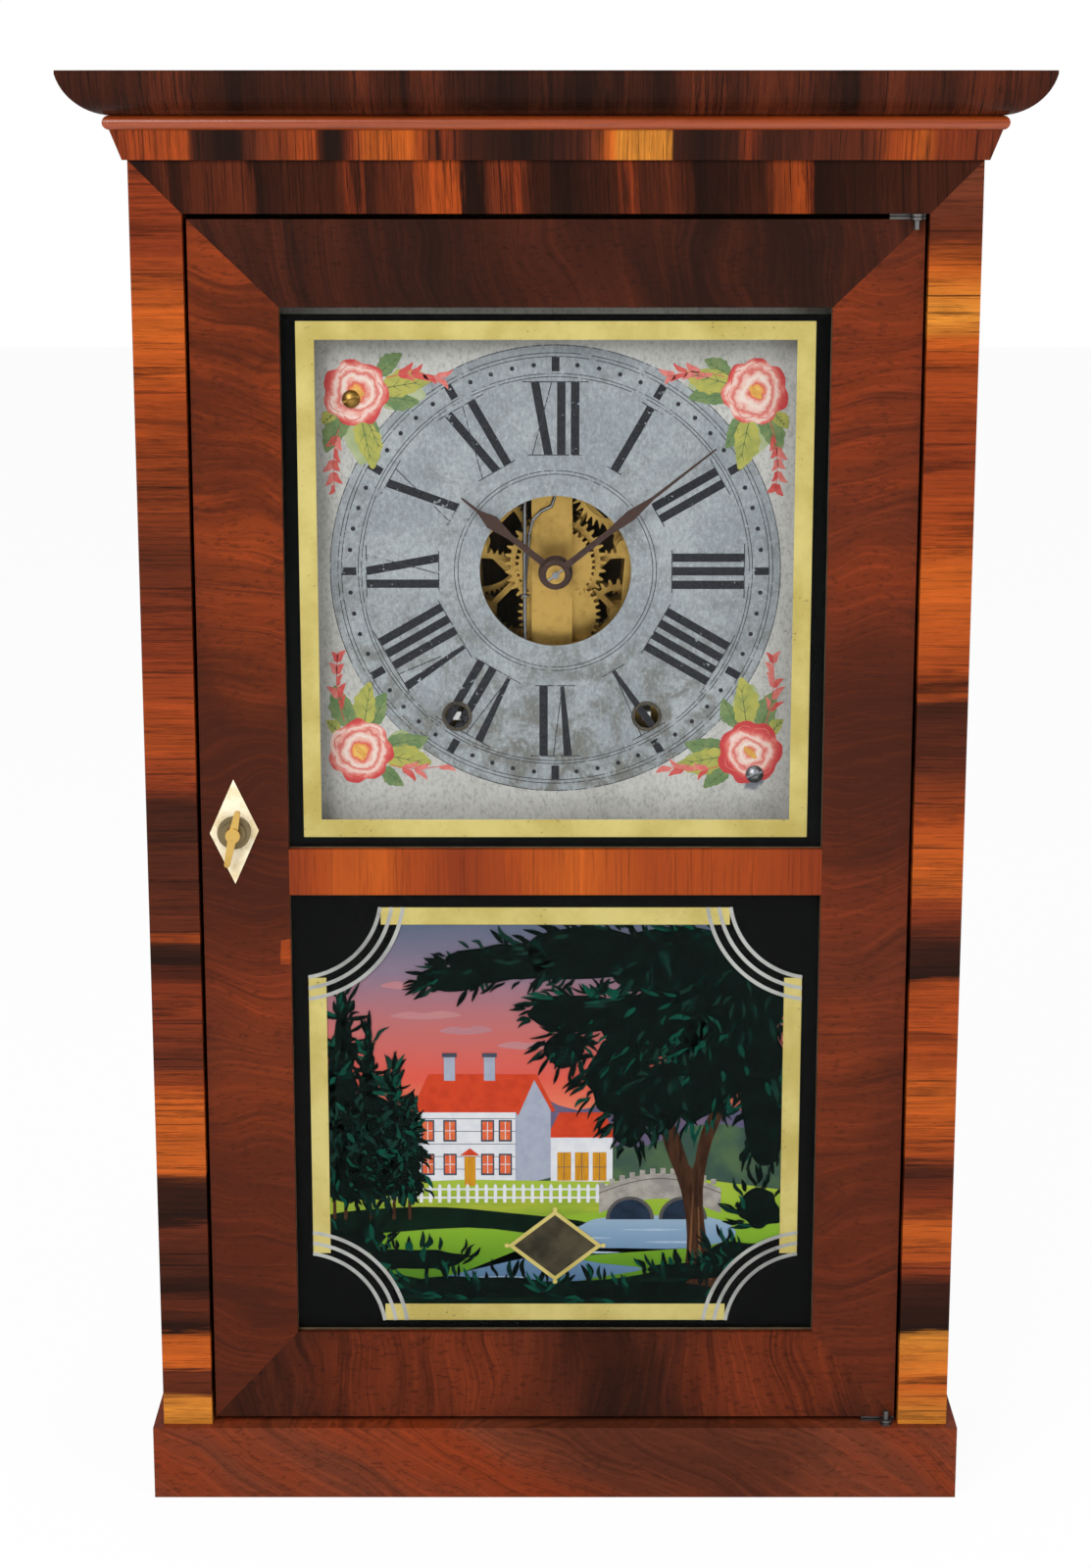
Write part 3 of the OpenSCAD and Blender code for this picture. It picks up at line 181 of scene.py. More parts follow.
class Graph:
    """The node tree of one material or world."""

    def __init__(self, owner: bpy.types.Material | bpy.types.World) -> None:
        """Turns the owner's nodes on and keeps them."""
        owner.use_nodes = True
        self.owner = owner
        self.tree = owner.node_tree
        self.shader = self.tree.nodes.get("Principled BSDF")

    def node(self, kind: str, settings: Mapping[str, Any] | None = None,
             inputs: Mapping[int | str, Any] | None = None, output: int | str = 0) -> Value:
        """Adds a node of any kind.

        Args:
            kind: The node's type.
            settings: Its properties, and "stops" for a ramp's positions and colours.
            inputs: Values or links by socket number or name.
            output: The socket that is given back.

        Returns:
            One output of the node.
        """
        made = self.tree.nodes.new(kind)
        for key, value in (settings or {}).items():
            if key != "stops":
                setattr(made, key, value)
                continue
            ramp = made.color_ramp
            while len(ramp.elements) < len(value):
                ramp.elements.new(0.5)
            for element, (place, colour) in zip(ramp.elements, value):
                element.position = place
                element.color = (*colour, 1.0)
        for key, value in (inputs or {}).items():
            self.feed(made.inputs[key], value)
        return Value(self, made.outputs[output])

    def feed(self, socket: bpy.types.NodeSocket, value: Any) -> None:
        """Links a value to a socket, or sets it there."""
        if isinstance(value, Value):
            self.tree.links.new(value.socket, socket)
        elif isinstance(value, tuple) and len(value) == 3 and len(socket.default_value) == 4:
            socket.default_value = (*value, 1.0)
        else:
            socket.default_value = value

    def place(self) -> tuple[Value, Value, Value]:
        """Gives X, Y and Z on the piece, in metres."""
        spot = self.node("ShaderNodeTexCoord", output="Object")
        parts = [self.node("ShaderNodeSeparateXYZ", inputs={0: spot}, output=k) for k in range(3)]
        return parts[0], parts[1], parts[2]

    def sideways(self) -> Value:
        """Gives 1 on faces that look left or right, and 0 on the others."""
        facing = self.node("ShaderNodeTexCoord", output="Normal")
        return self.rise(abs(self.node("ShaderNodeSeparateXYZ", inputs={0: facing})), 0.7, 0.8)

    def join(self, x: Any, y: Any, z: Any) -> Value:
        """Joins three numbers to a vector."""
        return self.node("ShaderNodeCombineXYZ", inputs={0: x, 1: y, 2: z})

    def noise(self, vector: Value, scale: float = 1.0, detail: float = 3.0, rough: float = 0.55,
              twist: float = 0.0) -> Value:
        """Adds a noise from 0 to 1 over a vector."""
        return self.node("ShaderNodeTexNoise", inputs={
            "Vector": vector, "Scale": scale, "Detail": detail, "Roughness": rough, "Distortion": twist})

    def mottle(self, scale: float, detail: float = 3.0, rough: float = 0.55, twist: float = 0.0) -> Value:
        """Adds a noise from 0 to 1 over the piece itself."""
        return self.noise(self.node("ShaderNodeTexCoord", output="Object"), scale, detail, rough, twist)

    def grain(self, spot: Sequence[Value], scales: Sequence[float], detail: float = 3.0, rough: float = 0.55,
              twist: float = 0.0) -> Value:
        """Adds a noise from 0 to 1 with a scale of its own in each direction."""
        parts = [part * scale for part, scale in zip(spot, scales)]
        return self.noise(self.join(*parts), 1.0, detail, rough, twist)

    def rise(self, value: Any, low: float, high: float) -> Value:
        """Rises smoothly from 0 to 1 as the value goes from low to high."""
        return self.node("ShaderNodeMapRange", {"interpolation_type": "SMOOTHSTEP"},
                         {0: value, 1: low, 2: high, 3: 0.0, 4: 1.0})

    def ramp(self, value: Value, stops: Sequence[tuple[float, Colour]]) -> Value:
        """Colours a value by stops from 0 to 1."""
        return self.node("ShaderNodeValToRGB", {"stops": stops}, {0: value})

    def blend(self, part: Any, first: Any, second: Any, mode: str = "MIX") -> Value:
        """Mixes two colours, with part as the share of the second."""
        return self.node("ShaderNodeMix", {"data_type": "RGBA", "blend_type": mode},
                         {0: part, 6: first, 7: second}, output=2)

    def coat(self, tone: Any, mask: Value, low: float, high: float, colour: Any, share: float = 1.0) -> Value:
        """Lays a colour over a tone where a mask rises from low to high, as strongly as share says."""
        part = self.rise(mask, low, high)
        return self.blend(part if share == 1.0 else part * share, tone, colour)

    def surface(self, colour: Any, roughness: Any, height: Value | None = None, push: float = 0.3,
                depth: float = 0.0004, **fixed: Any) -> None:
        """Feeds the shader.

        Args:
            colour: Base colour, a value or a fixed one.
            roughness: Roughness, a value or a number.
            height: What the bump follows.
            push: Strength of the bump.
            depth: Depth of the bump in metres.
            fixed: Other sockets, named with _ for spaces.
        """
        sockets = self.shader.inputs
        self.feed(sockets["Base Color"], colour)
        self.feed(sockets["Roughness"], roughness)
        if height is not None:
            bump = self.node("ShaderNodeBump", inputs={"Strength": push, "Distance": depth, "Height": height})
            self.feed(sockets["Normal"], bump)
        for name, value in fixed.items():
            self.feed(sockets[name.replace("_", " ")], value)


_made: dict[str, bpy.types.Material] = {}


@dataclass(frozen=True)
class Finish:
    """A finish that can be laid on a piece."""

    name: str

    def paint(self, g: Graph) -> None:
        """Builds the nodes; each finish has its own."""
        raise NotImplementedError

    def material(self) -> bpy.types.Material:
        """Gives the material, made once."""
        if self.name not in _made:
            g = Graph(bpy.data.materials.new(self.name))
            self.paint(g)
            _made[self.name] = g.owner
        return _made[self.name]


@dataclass(frozen=True)
class Veneer(Finish):
    """A shellacked veneer whose colour changes in bands across its fibres.

    The bands are (place in mm, tone) pairs across the fibres.
    """

    grain: Grain = Grain.LEVEL
    bands: tuple[tuple[float, Tone], ...] = ((0, Tone.RED), (1, Tone.RED))
    wander: float = 9.0
    streak: float = 0.6
    pitch: float = 150.0
    skew: float = 0.0
    gloss: float = 0.3
    dark: Tone = Tone.BLACK
    seams: tuple[float, ...] = ()
    shine: float = 0.05

    def paint(self, g: Graph) -> None:
        """Lays bands, streaks, pores and seams."""
        x, y, z = g.place()
        side = g.sideways()
        along, across = (x + y * side, z) if self.grain is Grain.LEVEL else (z, x + y * side)
        across = across + along * self.skew
        wave = g.grain((along, across, y), (6, 18, 6), 2, twist=0.3)
        ripple = g.grain((along, across, y), (24, 130, 24), 2)
        fibres = g.grain((along, across, y), (7, 190, 7), 5, 0.75)
        spot = across + (wave - 0.5) * (self.wander * MM * 3) + (ripple - 0.5) * (self.wander * MM * 2)
        spot = spot + (fibres - 0.5) * (self.wander * MM * 6)
        low, high = self.bands[0][0] * MM, self.bands[-1][0] * MM
        stops = [((p * MM - low) / (high - low), tone.value) for p, tone in self.bands]
        tone = g.ramp((spot - low) / (high - low), stops)
        clouds = g.grain((along, spot, y), (16, 60, 16), 4, 0.6)
        veins = g.grain((along, spot, y), (5, self.pitch, 5), 6, 0.72)
        lines = g.grain((along, spot, y), (7, self.pitch * 3.4, 7), 4, 0.66)
        pores = g.grain((along, across, y), (50, 1700, 50), 2)
        hairs = g.grain((along, across, y), (13, 900, 13), 4, 0.7, twist=0.15)
        tone = g.coat(tone, clouds, 0.45, 0.75, self.dark.value, 0.3)
        tone = g.coat(tone, veins, 0.53, 0.66, self.dark.value, self.streak)
        tone = g.coat(tone, lines, 0.56, 0.64, self.dark.value, self.streak * 0.8)
        tone = g.coat(tone, hairs, 0.56, 0.63, Tone.BLACK.value, self.streak * 1.1)
        light = g.blend(1.0, tone, (1.7, 1.6, 1.4), "MULTIPLY")
        tone = g.coat(tone, 1 - lines, 0.5, 0.66, light, self.streak * 0.8)
        tone = g.coat(tone, 1 - hairs, 0.52, 0.64, light, self.streak * 0.4)
        tone = g.coat(tone, pores, 0.56, 0.7, self.dark.value, 0.4)
        for seam in self.seams:
            gap = abs(across + (ripple - 0.5) * 0.0012 - seam * MM)
            tone = g.blend((1 - g.rise(gap, 0.0001, 0.0006)) * 0.8, tone, Tone.BLACK.value)
        wear = g.mottle(35, 5)
        g.surface(tone, self.gloss + (wear - 0.5) * 0.22, pores * 0.5 + lines * 0.5, 0.12, 0.0003,
                  Coat_Weight=0.02, Coat_Roughness=0.22, Specular_IOR_Level=self.shine)


@dataclass(frozen=True)
class Area:
    """A soft oval of another tone on a figured veneer, in X and Z."""

    centre: Point
    half: Point
    tone: Tone
    amount: float = 0.7


@dataclass(frozen=True)
class Figured(Finish):
    """A swirled, flame-figured veneer between two tones."""

    first: Tone = Tone.RED
    second: Tone = Tone.BROWN
    flame: Tone = Tone.BLACK
    grain: Grain = Grain.LEVEL
    size: float = 12.0
    amount: float = 0.6
    skew: float = 0.35
    ripple: float = 0.0
    gloss: float = 0.3
    areas: tuple[Area, ...] = ()
    patch: tuple[float, float, float, float] | None = None
    shine: float = 0.05

    def paint(self, g: Graph) -> None:
        """Lays the swirls, the fine grain, and the darker and lighter areas."""
        x, y, z = g.place()
        along, across = (x, z) if self.grain is Grain.LEVEL else (z, x)
        across = across + along * self.skew
        curl = g.grain((along, across, y), (9, 9, 9), 2)
        spot = across + (curl - 0.5) * 0.07
        swirl = g.grain((along, spot, y), (self.size * 0.5, self.size * 2.6, 9), 5, 0.64)
        veins = g.grain((along, spot, y), (9, 190, 9), 6, 0.7)
        lines = g.grain((along, spot, y), (16, 620, 16), 3, 0.6)
        pores = g.grain((x, y, z), (260, 260, 620), 3, 0.6)
        tone = g.coat(self.first.value, swirl, 0.36, 0.64, self.second.value)
        for area in self.areas:
            u = (x - area.centre[0] * MM) / (area.half[0] * MM)
            v = (z - area.centre[1] * MM) / (area.half[1] * MM)
            mask = 1 - g.rise(u * u + v * v + (swirl - 0.5) * 2.2, 0.1, 1.1)
            tone = g.blend(mask * area.amount, tone, area.tone.value)
        tone = g.coat(tone, 1 - swirl, 0.5, 0.68, self.flame.value, self.amount)
        if self.patch:
            edge = g.grain((x, y, z), (120, 1, 120), 3)
            u = abs(x - self.patch[0] * MM) / (self.patch[2] * MM)
            v = abs(z - self.patch[1] * MM) / (self.patch[3] * MM)
            mask = 1 - g.rise(u.larger(v) + (edge - 0.5) * 0.5, 0.9, 1.0)
            tone = g.blend(mask * 0.85, tone, Tone.RUST.value)
        tone = g.coat(tone, veins, 0.52, 0.66, self.flame.value, 0.55)
        lit = g.blend(1.0, tone, (1.75, 1.6, 1.4), "MULTIPLY")
        tone = g.coat(tone, lines, 0.48, 0.66, lit, 0.45)
        if self.ripple:
            curls = g.grain((x, y, z), (26, 26, 430), 2)
            tone = g.coat(tone, curls, 0.5, 0.7, lit, self.ripple)
        tone = g.coat(tone, pores, 0.52, 0.68, self.flame.value, 0.45)
        wear = g.mottle(30, 5)
        g.surface(tone, self.gloss + (wear - 0.5) * 0.2, pores * 0.5 + veins * 0.5, 0.12, 0.0003,
                  Coat_Weight=0.02, Coat_Roughness=0.22, Specular_IOR_Level=self.shine)


@dataclass(frozen=True)
class Board(Finish):
    """Plain softwood with year rings and grime."""

    light: Colour = shade(168, 124, 78)
    dark: Colour = shade(118, 78, 44)
    grain: Grain = Grain.UPRIGHT
    dirt: float = 0.5

    def paint(self, g: Graph) -> None:
        """Lays rings, fibres and grime."""
        x, y, z = g.place()
        along, across = (x, z) if self.grain is Grain.LEVEL else (z, x)
        bend = g.grain((along, across, y), (4, 9, 9), 2)
        spot = across + (bend - 0.5) * 0.03
        rings = g.grain((along, spot, y), (1.1, 170, 60), 5, 0.65)
        fibre = g.grain((along, spot, y), (25, 900, 300), 3)
        grime = g.mottle(9, 6, 0.65)
        tone = g.coat(self.light, rings, 0.38, 0.68, self.dark, 0.75)
        tone = g.coat(tone, fibre, 0.5, 0.72, self.dark, 0.35)
        tone = g.coat(tone, grime, 0.42, 0.72, shade(58, 40, 26), self.dirt)
        g.surface(tone, 0.62 + (grime - 0.5) * 0.2, fibre * 0.6 + rings * 0.4, 0.25, 0.0005)


@dataclass(frozen=True)
class Metal(Finish):
    """Brushed or cast metal with tarnish."""

    colour: Colour = shade(206, 168, 92)
    stain: Colour = shade(96, 66, 32)
    roughness: float = 0.32
    tarnish: float = 0.5
    metal: float = 1.0
    brushed: float = 0.0

    def paint(self, g: Graph) -> None:
        """Lays scratches and tarnish."""
        x, y, z = g.place()
        clouds = g.mottle(60, 6, 0.65)
        specks = g.mottle(420, 3, 0.6)
        hairs = g.grain((x, y, z), (900, 900, 60), 2)
        tone = g.coat(self.colour, clouds, 0.45, 0.72, self.stain, self.tarnish)
        tone = g.coat(tone, specks, 0.62, 0.75, self.stain, self.tarnish)
        rough = self.roughness + (clouds - 0.4) * 0.3 + (hairs - 0.5) * (0.1 + self.brushed * 0.2)
        g.surface(tone, rough, specks * 0.4 + hairs * 0.6, 0.08 + self.brushed * 0.15, 0.0001,
                  Metallic=self.metal)


@dataclass(frozen=True)
class Paint(Finish):
    """Brushed paint with slight changes of tone."""

    colour: Colour = (0.5, 0.5, 0.5)
    other: Colour | None = None
    amount: float = 0.5
    roughness: float = 0.45
    size: float = 260.0
    worn: float = 0.0
    stretch: tuple[float, float] = (1.0, 1.0)
    shine: float = 0.3

    def paint(self, g: Graph) -> None:
        """Lays the strokes, and wears some away."""
        x, y, z = g.place()
        strokes = g.noise(g.join(x * self.stretch[0], y, z * self.stretch[1]), self.size, 4, 0.6)
        other = self.other or tuple(c * 0.7 for c in self.colour)
        tone = g.coat(self.colour, strokes, 0.35, 0.68, other, self.amount)
        g.surface(tone, self.roughness, strokes, 0.05, 0.0001, Specular_IOR_Level=self.shine)
        if self.worn:
            chips = g.mottle(330, 5, 0.7)
            spots = g.mottle(45, 2)
            whole = g.rise(chips + (spots - 0.5) * 0.5, 0.22 + self.worn * 0.22, 0.3 + self.worn * 0.25)
            g.feed(g.shader.inputs["Alpha"], whole)


@dataclass(frozen=True)
class BackPaint(Paint):
    """Paint on the back of glass, where the glass gives the gloss."""

    shine: float = 0.03


@dataclass(frozen=True)
class Graded(Finish):
    """Paint whose colour changes with height."""

    low: float = 0.0
    high: float = 100.0
    stops: tuple[tuple[float, Colour], ...] = ()

    def paint(self, g: Graph) -> None:
        """Lays the gradient with soft strokes."""
        x, y, z = g.place()
        strokes = g.grain((x, y, z), (40, 1, 160), 4)
        part = (z - self.low * MM) / ((self.high - self.low) * MM) + (strokes - 0.5) * 0.08
        g.surface(g.ramp(part, self.stops), 0.45, strokes, 0.04, 0.0001, Specular_IOR_Level=0.03)


@dataclass(frozen=True)
class DialPaint(Finish):
    """Old dial paint: a blue-grey round with stains, and painted shade on its lower half, on a warm white
    ground.
    """

    radius: float = DIAL_ROUND
    centre_z: float = DIAL_CENTRE[1]
    screws: tuple[Point, ...] = DIAL_SCREWS

    def paint(self, g: Graph) -> None:
        """Lays the round, the stains, painted shade on the lower half of the round, the scratches and the
        bare zinc at the screws.
        """
        x, y, z = g.place()
        up = z - self.centre_z * MM
        out = (x * x + up * up).root()
        clouds = g.mottle(28, 6, 0.62)
        patches = g.mottle(75, 5, 0.66, 0.6)
        grit = g.mottle(520, 3, 0.6)
        scratch = g.grain((x, y, z), (60, 1, 1500), 2)
        grain = g.noise(g.join(x * 1.3, y, z * 0.8), 620, 5, 0.78)
        ground = g.coat(shade(206, 205, 199), clouds, 0.35, 0.7, shade(188, 187, 181))
        round_ = g.coat(shade(150, 158, 163), clouds, 0.38, 0.62, shade(171, 178, 181))
        round_ = g.coat(round_, patches, 0.52, 0.72, shade(126, 130, 126), 0.7)
        # Darker towards the bottom of the round, in patches: part stain, part painted shade of light falling
        # from above.
        low = g.rise(0 - up, -0.03, 0.08) * g.rise(patches, 0.4, 0.6)
        round_ = g.blend(low * 0.85, round_, shade(112, 112, 104))
        tone = g.coat(round_, out, (self.radius - 0.25) * MM, (self.radius + 0.25) * MM, ground)
        tone = g.coat(tone, grit, 0.68, 0.78, shade(110, 106, 92), 0.5)
        tone = g.coat(tone, scratch, 0.66, 0.74, shade(205, 208, 208), 0.2)
        tone = g.coat(tone, grain, 0.46, 0.68, shade(112, 114, 114), 0.5)
        tone = g.coat(tone, 1 - grain, 0.5, 0.68, shade(208, 212, 214), 0.35)
        for sx, sz in self.screws:
            du, dv = x - sx * MM, z - sz * MM
            near = (du * du + dv * dv).root() + (patches - 0.5) * 0.014
            tone = g.blend(1 - g.rise(near, 0.0055, 0.0075), tone, shade(120, 124, 132))
        g.surface(tone, 0.42 + (clouds - 0.5) * 0.3, patches * 0.5 + grit * 0.5, 0.12, 0.0003,
                  Specular_IOR_Level=0.3)


@dataclass(frozen=True)
class RosePaint(Finish):
    """A rose painted wet in wet: a yellow heart, pale inner and outer petals and a red rim."""

    centre: Point = (0.0, 0.0)
    radius: float = 14.5
    turn: float = 0.0

    def paint(self, g: Graph) -> None:
        """Lays the rings of petals, bent and smeared."""
        x, _, z = g.place()
        u, v = x - self.centre[0] * MM, z - self.centre[1] * MM
        smear = g.mottle(150, 4, 0.6)
        strokes = g.mottle(700, 3, 0.6)
        angle = v.maths("ARCTAN2", u)
        out = (u * u + v * v).root() / (self.radius * MM)
        far = g.rise(out, 0.44, 0.62)
        petals = (abs((angle * 3.5 + self.turn).sine()) - 0.6) * far * -0.2
        inner = (abs((angle * 2.5 + self.turn * 2).sine()) - 0.6) * (1 - far) * -0.22
        fold = g.mottle(75, 3, 0.5)
        part = out + petals + inner + (fold - 0.5) * 0.7 + (smear - 0.5) * 0.22 + (strokes - 0.5) * 0.1
        tone = g.ramp(part, (
            (0.0, shade(238, 204, 108)), (0.12, shade(238, 160, 84)), (0.19, shade(222, 96, 84)),
            (0.27, shade(238, 176, 160)), (0.37, shade(244, 226, 214)), (0.47, shade(238, 190, 176)),
            (0.54, shade(220, 106, 98)), (0.61, shade(236, 166, 152)), (0.7, shade(244, 216, 204)),
            (0.8, shade(230, 136, 124)), (0.9, shade(214, 82, 78)), (1.0, shade(202, 64, 66))))
        g.surface(tone, 0.55, strokes, 0.06, 0.0001, Specular_IOR_Level=0.3)


@dataclass(frozen=True)
class GoldLeaf(Finish):
    """Gold or silver paint on glass, with specks and thin places."""

    colour: Colour = shade(222, 205, 122)
    other: Colour = shade(196, 176, 88)
    speck: Colour = shade(92, 82, 44)

    def paint(self, g: Graph) -> None:
        """Lays the metal with its specks."""
        clouds = g.mottle(34, 5, 0.6)
        strokes = g.mottle(190, 4, 0.6)
        specks = g.mottle(620, 3, 0.55)
        tone = g.coat(self.colour, clouds, 0.35, 0.68, self.other)
        tone = g.coat(tone, strokes, 0.55, 0.75, self.other, 0.4)
        tone = g.coat(tone, specks + (clouds - 0.5) * 0.25, 0.68, 0.74, self.speck, 0.8)
        g.surface(tone, 0.4, strokes, 0.08, 0.0001, Metallic=0.15)


@dataclass(frozen=True)
class Pane(Finish):
    """Old clear glass."""

    clear: float = 0.015

    def paint(self, g: Graph) -> None:
        """Lets light through, and keeps the gloss of a slightly wavy face."""
        x, y, z = g.place()
        waves = g.grain((x, y, z), (14, 1, 5), 2)
        edge = g.node("ShaderNodeFresnel", inputs={0: 1.45})
        g.surface(shade(30, 38, 35), 0.05, waves, 0.03, 0.002, Specular_IOR_Level=0.3)
        g.feed(g.shader.inputs["Alpha"], edge * 0.5 + self.clear)


@dataclass(frozen=True)
class Bone(Finish):
    """Ivory-coloured inlay with fine cracks."""

    def paint(self, g: Graph) -> None:
        """Lays the cream with its stains and cracks."""
        x, y, z = g.place()
        clouds = g.mottle(110, 5, 0.6)
        cracks = g.grain((x, y, z), (1400, 1, 90), 2)
        tone = g.coat(shade(238, 226, 196), clouds, 0.4, 0.7, shade(214, 192, 146))
        tone = g.coat(tone, cracks, 0.64, 0.72, shade(150, 118, 76), 0.5)
        g.surface(tone, 0.34, cracks, 0.1, 0.0002)


@dataclass(frozen=True)
class Twine(Finish):
    """Twisted cord."""

    colour: Colour = shade(176, 150, 108)

    def paint(self, g: Graph) -> None:
        """Lays the strands of the twist, with painted shade in the grooves between them."""
        x, y, z = g.place()
        turn = (z * 1800 + x * 2600 + y * 2600).sine()
        fuzz = g.mottle(900, 3)
        # Painted shade: the grooves between the strands take this darker copy of the cord's colour.
        hollow = tuple(c * 0.45 for c in self.colour)
        tone = g.coat(hollow, turn + (fuzz - 0.5), -0.4, 0.8, self.colour)
        g.surface(tone, 0.85, turn * 0.5 + fuzz, 0.5, 0.0003)


T = Tone


def stripes(text: str) -> tuple[tuple[float, Tone], ...]:
    """Reads a veneer's bands from words such as "34 gold, 52 orange"."""
    return tuple((float(place), Tone[name.upper()]) for place, name in map(str.split, text.split(", ")))


BRASS = Metal("brass_worn", brushed=0.4)
BRASS_DARK = Metal("brass_dull", shade(178, 140, 72), shade(74, 52, 28), 0.4, 0.65)
STEEL = Metal("steel_grey", shade(150, 152, 156), shade(84, 74, 66), 0.34, 0.4)
BLUED = Metal("hand_brown", shade(70, 48, 40), shade(44, 27, 22), 0.42, 0.5, 0.35)
# Polished steel for the arbor ends, made paler than the other steel: part of its brightness is a painted
# highlight.
STEEL_POLISHED_AND_HIGHLIGHT = Metal("steel_polished_and_highlight", shade(216, 218, 216), shade(130, 126, 118), 0.34, 0.25, 0.55)
BRONZE = Metal("bronze_aged", shade(118, 102, 70), shade(52, 42, 28), 0.42, 0.5, 0.6)
GROMMET = Metal("grommet_dark", shade(98, 92, 82), shade(40, 36, 32), 0.36, 0.6)
HINGE_STEEL = Metal("hinge_steel", shade(104, 102, 100), shade(40, 36, 34), 0.42, 0.7)
IRON = Metal("iron_cast", shade(62, 62, 64), shade(70, 48, 36), 0.62, 0.5, 0.55)
GONG_STEEL = Metal("gong_blued", shade(76, 82, 96), shade(60, 50, 46), 0.36, 0.4)
PINE = Board("pine_old")
PINE_BACK = Board("pine_back", shade(146, 108, 70), shade(104, 71, 43), Grain.UPRIGHT, 0.5)
PINE_INSIDE = Board("pine_inside", shade(140, 100, 62), shade(98, 64, 38), Grain.LEVEL, 0.6)
PULLEY_WOOD = Board("pulley_wood", shade(150, 104, 62), shade(96, 60, 34), Grain.UPRIGHT, 0.4)
PUTTY = Paint("putty_dry", shade(150, 130, 100), shade(112, 92, 66), 0.7, 0.8, 90)
CLEAR = Pane("glass_clear")
BONE = Bone("inlay_bone")
CORD = Twine("cord_twisted")

STILE_RIGHT = Veneer("veneer_stile_right", Grain.LEVEL, stripes(
    "34 gold, 52 orange, 75 gold, 78 black, 104 dark, 108 red, 128 orange, 137 red, 157 dark, "
    "161 rust, 192 orange, 206 rust, 241 rust, 243 black, 262 dark, 276 red, 290 orange, 318 rust, "
    "338 deep, 368 dark, 372 rust, 376 black, 379 rust, 424 orange, 440 rust, 480 red, 518 rust, "
    "523 orange, 534 gold, 556 orange, 568 deep, 600 brown"), 3, 0.5,
    seams=(250, 543))
STILE_LEFT = Veneer("veneer_stile_left", Grain.LEVEL, stripes(
    "34 gold, 45 gold, 49 deep, 59 deep, 61 orange, 76 orange, 79 black, 92 deep, 98 black, 104 dark, "
    "128 deep, 131 black, 150 dark, 154 orange, 185 orange, 196 rust, 204 deep, 236 red, 250 black, "
    "260 dark, 266 rust, 268 deep, 325 dark, 331 red, 350 rust, 385 red, 430 deep, 500 rust, "
    "530 orange, 560 red"), 3, 0.54, seams=(266.4,))
FRIEZE = Veneer("veneer_frieze", Grain.UPRIGHT, stripes(
    "-182 brown, -166 brown, -160 dark, -140 black, -134 deep, -130 black, -116 deep, -98 deep, "
    "-94 black, -84 dark, -62 dark, -58 red, -52 dark, -30 deep, -22 rust, -10 rust, -7 black, "
    "-1 black, 3 deep, 14 red, 20 dark, 32 black, 54 dark, 60 red, 68 dark, 80 deep, 90 black, "
    "118 dark, 131 rust, 136 red, 138 black, 182 dark"), 3, 0.7, 210, 0.05)
FASCIA = Veneer("veneer_fascia", Grain.UPRIGHT, stripes(
    "-190 red, -153 rust, -151 dark, -138 black, -131 black, -126 deep, -100 rust, -96 black, "
    "-88 black, -84 red, -78 orange, -60 orange, -56 rust, -49 black, -46 red, -38 dark, -14 black, "
    "6 dark, 16 deep, 23 orange, 26 gold, 48 gold, 48.6 dark, 60 black, 76 dark, 80 red, 86 dark, "
    "130 deep, 142 rust, 154 orange, 159 red, 190 deep"), 1, 0.6, 240)
CORNICE = Veneer("veneer_cornice", Grain.UPRIGHT, stripes(
    "-205 dark, -170 dark, -160 deep, -140 dark, -132 black, -118 dark, -90 dark, -76 deep, -64 black, "
    "-52 deep, -40 dark, -20 black, -5 dark, 10 black, 30 dark, 44 black, 58 deep, 74 dark, 90 deep, "
    "110 dark, 122 black, 136 deep, 160 dark, 176 deep, 205 dark"), 4, 0.8, 190, gloss=0.26)
BEAD = Veneer("mahogany_bead", Grain.LEVEL, stripes("600 rust, 620 rust"), 2, 0.3, 300, gloss=0.24,
              dark=T.RED, shine=0.5)
DOOR_LEFT = Figured("veneer_door_left", T.RED, T.DEEP, T.DARK, Grain.LEVEL, 9, 0.7, 0.25, 0.12,
                    patch=(-117.5, 254, 4.5, 6), areas=(
                        Area((-142, 500), (60, 110), T.RUST, 0.35), Area((-142, 325), (60, 95), T.DARK, 0.85),
                        Area((-142, 110), (60, 110), T.DARK, 0.6), Area((-128, 400), (26, 50), T.RUST, 0.2),
                        Area((-136, 196), (30, 34), T.RUST, 0.15)))
DOOR_RIGHT = Figured("veneer_door_right", T.RED, T.DEEP, T.DARK, Grain.LEVEL, 10, 0.5, -0.3, 0.32, areas=(
    Area((142, 345), (60, 75), T.DARK, 0.85), Area((142, 230), (60, 60), T.DEEP, 0.6),
    Area((142, 110), (60, 120), T.DARK, 0.55), Area((128, 190), (20, 60), T.RUST, 0.12)))
DOOR_RAILS = Figured("veneer_door_rails", T.DARK, T.DEEP, T.BLACK, Grain.UPRIGHT, 8, 0.5, 0.1, areas=(
    Area((0, 556), (260, 60), T.BLACK, 0.55), Area((14, 56), (22, 44), T.BLACK, 0.5),
    Area((-60, 56), (60, 34), T.RED, 0.45), Area((96, 56), (44, 34), T.RED, 0.45)))
CROSS_RAIL = Veneer("veneer_cross_rail", Grain.UPRIGHT, stripes(
    "-120 red, -104 rust, -84 orange, -62 rust, -42 red, -20 rust, 10 orange, 40 rust, 80 rust, "
    "120 red"), 5, 0.3, 260, dark=T.RED)
PLINTH = Figured("veneer_plinth", T.BROWN, T.RED, T.DARK, Grain.LEVEL, 7, 0.45, 0.6, 0.1, areas=(
    Area((48, 17), (76, 60), T.DARK, 0.4),))
SIDES = Veneer("stained_side", Grain.UPRIGHT, stripes(
    "-250 red, -160 deep, -60 brown, 40 red, 140 deep, 250 red"), 8, 0.4, 120, gloss=0.4, dark=T.DARK)

